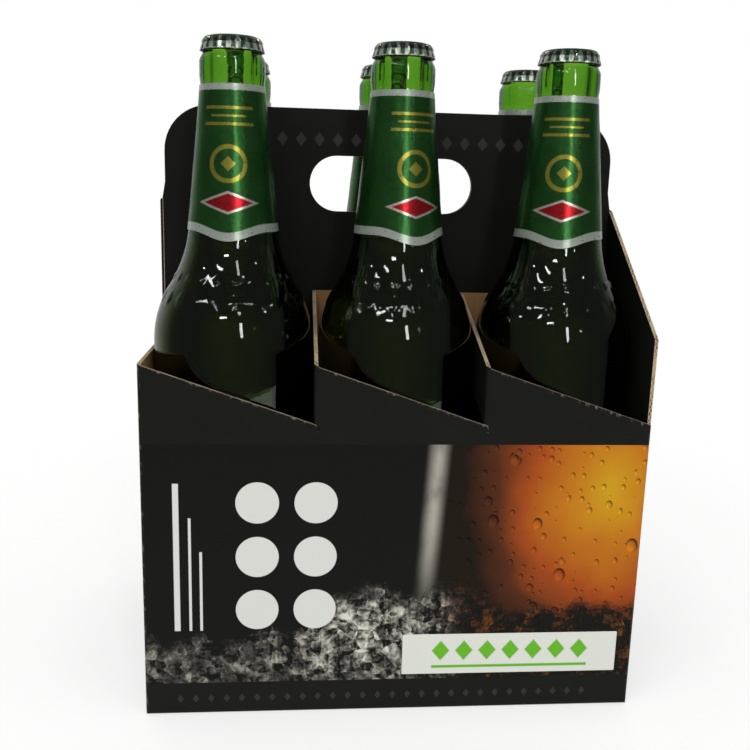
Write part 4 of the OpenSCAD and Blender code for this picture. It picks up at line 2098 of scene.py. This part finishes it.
@dataclass
class Studio:
    """Pale floor, soft light and the photograph's camera."""

    lens: float = 43.02
    sensor: float = 36.0
    nearest: float = 0.01
    eye: Place = (-46.3, -455.5, 242.0)
    pitch: float = 11.98
    yaw: float = 5.13
    roll: float = 1.59
    floor_r: float = 0.66
    floor_segments: int = 96
    floor_grain: float = 3.0
    floor_fade: Point = (0.16, 0.62)
    floor_white: Colour = srgb(246, 246, 244)
    floor_pale: Colour = srgb(248, 248, 247)
    floor_glow: float = 0.55
    ambient: float = 0.8
    room: float = 0.1
    gloss: float = 0.6
    backdrop: Point = (0.1, 0.8)
    front_share: float = 0.3
    lamps: tuple[Lamp, ...] = (
        Lamp("soft_key", (-0.7, -1.3, 1.2), (1.2, 0.9), 5.5, seen=False),
        Lamp("soft_fill", (1.2, -0.9, 0.7), (0.9, 0.9), 2.0, seen=False),
        Lamp("tube_left", (-0.93, -0.76, 1.2), (0.36, 0.07), 1.6, 42.0),
        Lamp("tube_middle", (-0.76, -1.27, 1.2), (0.36, 0.07), 1.8, 24.0),
        Lamp("tube_near", (-0.51, -1.9, 1.2), (0.36, 0.08), 2.2, 2.0),
        Lamp("tube_front", (0.24, -1.3, 1.2), (0.12, 0.38), 1.5, -18.0),
        Lamp("strip_low", (0.29, -1.45, 0.56), (0.1, 0.42), 2.2, 3.0),
        Lamp("tube_back_left", (-0.7, 1.2, 1.3), (0.4, 0.07), 1.4, 20.0),
        Lamp("tube_back_right", (0.6, 1.5, 1.3), (0.4, 0.07), 1.4, -15.0),
    )
    glints: tuple[Place, ...] = (
        (-1.2, -0.5, 0.9),
        (-1.0, -1.1, 1.6),
        (-0.2, -0.9, 1.7),
        (0.5, -1.2, 1.4),
        (1.1, -0.8, 1.0),
        (0.9, -1.5, 0.7),
    )
    glint_size: Point = (0.04, 0.04)
    glint_watts: float = 0.26

    def camera(self) -> None:
        """Sets the camera by its place and its three angles, in degrees."""
        data = bpy.data.cameras.new("camera")
        data.lens = self.lens
        data.sensor_width = self.sensor
        data.clip_start = self.nearest
        camera = bpy.data.objects.new("camera", data)
        turn = (
            Matrix.Rotation(math.radians(-self.yaw), 3, "Z")
            @ Matrix.Rotation(math.radians(90.0 - self.pitch), 3, "X")
            @ Matrix.Rotation(math.radians(self.roll), 3, "Z")
        )
        camera.matrix_world = Matrix.Translation(Vector(self.eye) * MM) @ turn.to_4x4()
        bpy.context.scene.collection.objects.link(camera)
        bpy.context.scene.camera = camera

    def floor(self) -> None:
        """Round pale floor that fades to white far from the object."""
        shape = bmesh.new()
        bmesh.ops.create_circle(
            shape, cap_ends=True, segments=self.floor_segments, radius=self.floor_r
        )
        mesh = bpy.data.meshes.new("floor")
        shape.to_mesh(mesh)
        shape.free()
        g = Graph("pale_floor")
        from_middle = {0: g.node("ShaderNodeTexCoord").outputs["Object"]}
        far = g.node("ShaderNodeVectorMath", from_middle, operation="LENGTH").outputs["Value"]
        white = g.ramp(far, *self.floor_fade, self.floor_glow, 1.0)
        tone = g.mix(g.noise(g.place(), self.floor_grain, 3.0), self.floor_white, self.floor_pale)
        matt = g.node("ShaderNodeBsdfDiffuse", {"Color": tone}).outputs[0]
        glow = g.node("ShaderNodeEmission", {"Strength": 1.0}).outputs[0]
        fade = g.node("ShaderNodeMixShader", {0: white, 1: matt, 2: glow})
        g.put(g.output.inputs["Surface"], fade.outputs[0])
        new_piece(mesh, "floor", g.material)

    def world(self) -> None:
        """White backdrop, also in gloss and through glass, soft light and a dim room in front."""
        world = bpy.data.worlds.new("studio")
        bpy.context.scene.world = world
        world.use_nodes = True
        world.node_tree.nodes.clear()
        n = Nodes(world.node_tree)
        path = n.node("ShaderNodeLightPath").outputs
        seen, through = path["Is Camera Ray"], path["Is Transmission Ray"]
        _, behind, _ = n.split(n.node("ShaderNodeTexCoord").outputs["Generated"])
        mirrored = n.times(n.size(behind), n.times(through, self.front_share))
        brightest = n.line(through, 1.0 - self.gloss, self.gloss)
        shown = n.ramp(n.most(behind, mirrored), *self.backdrop, self.room, brightest)
        bent = n.times(n.most(path["Is Glossy Ray"], through), n.subtract(1.0, seen))
        level = n.line(seen, 1.0 - self.ambient, self.ambient)
        level = n.add(n.times(level, n.subtract(1.0, bent)), n.times(shown, bent))
        white = {"Color": (1.0, 1.0, 1.0, 1.0), "Strength": level}
        light = n.node("ShaderNodeBackground", white)
        n.node("ShaderNodeOutputWorld", {"Surface": light.outputs[0]})

    def build(self) -> None:
        """Sets the whole studio."""
        self.camera()
        self.floor()
        self.world()
        for lamp in self.lamps:
            lamp.build()
        for index, place in enumerate(self.glints):
            Lamp(f"glint_{index}", place, self.glint_size, self.glint_watts).build()


def main() -> None:
    """Builds the studio, the board and the bottles in turn."""
    logging.basicConfig(level=logging.INFO, format="%(message)s")
    bpy.context.scene.view_settings.view_transform = "Standard"
    Studio().build()
    Carrier().build()
    Pack().build()


if __name__ == "__main__":
    main()
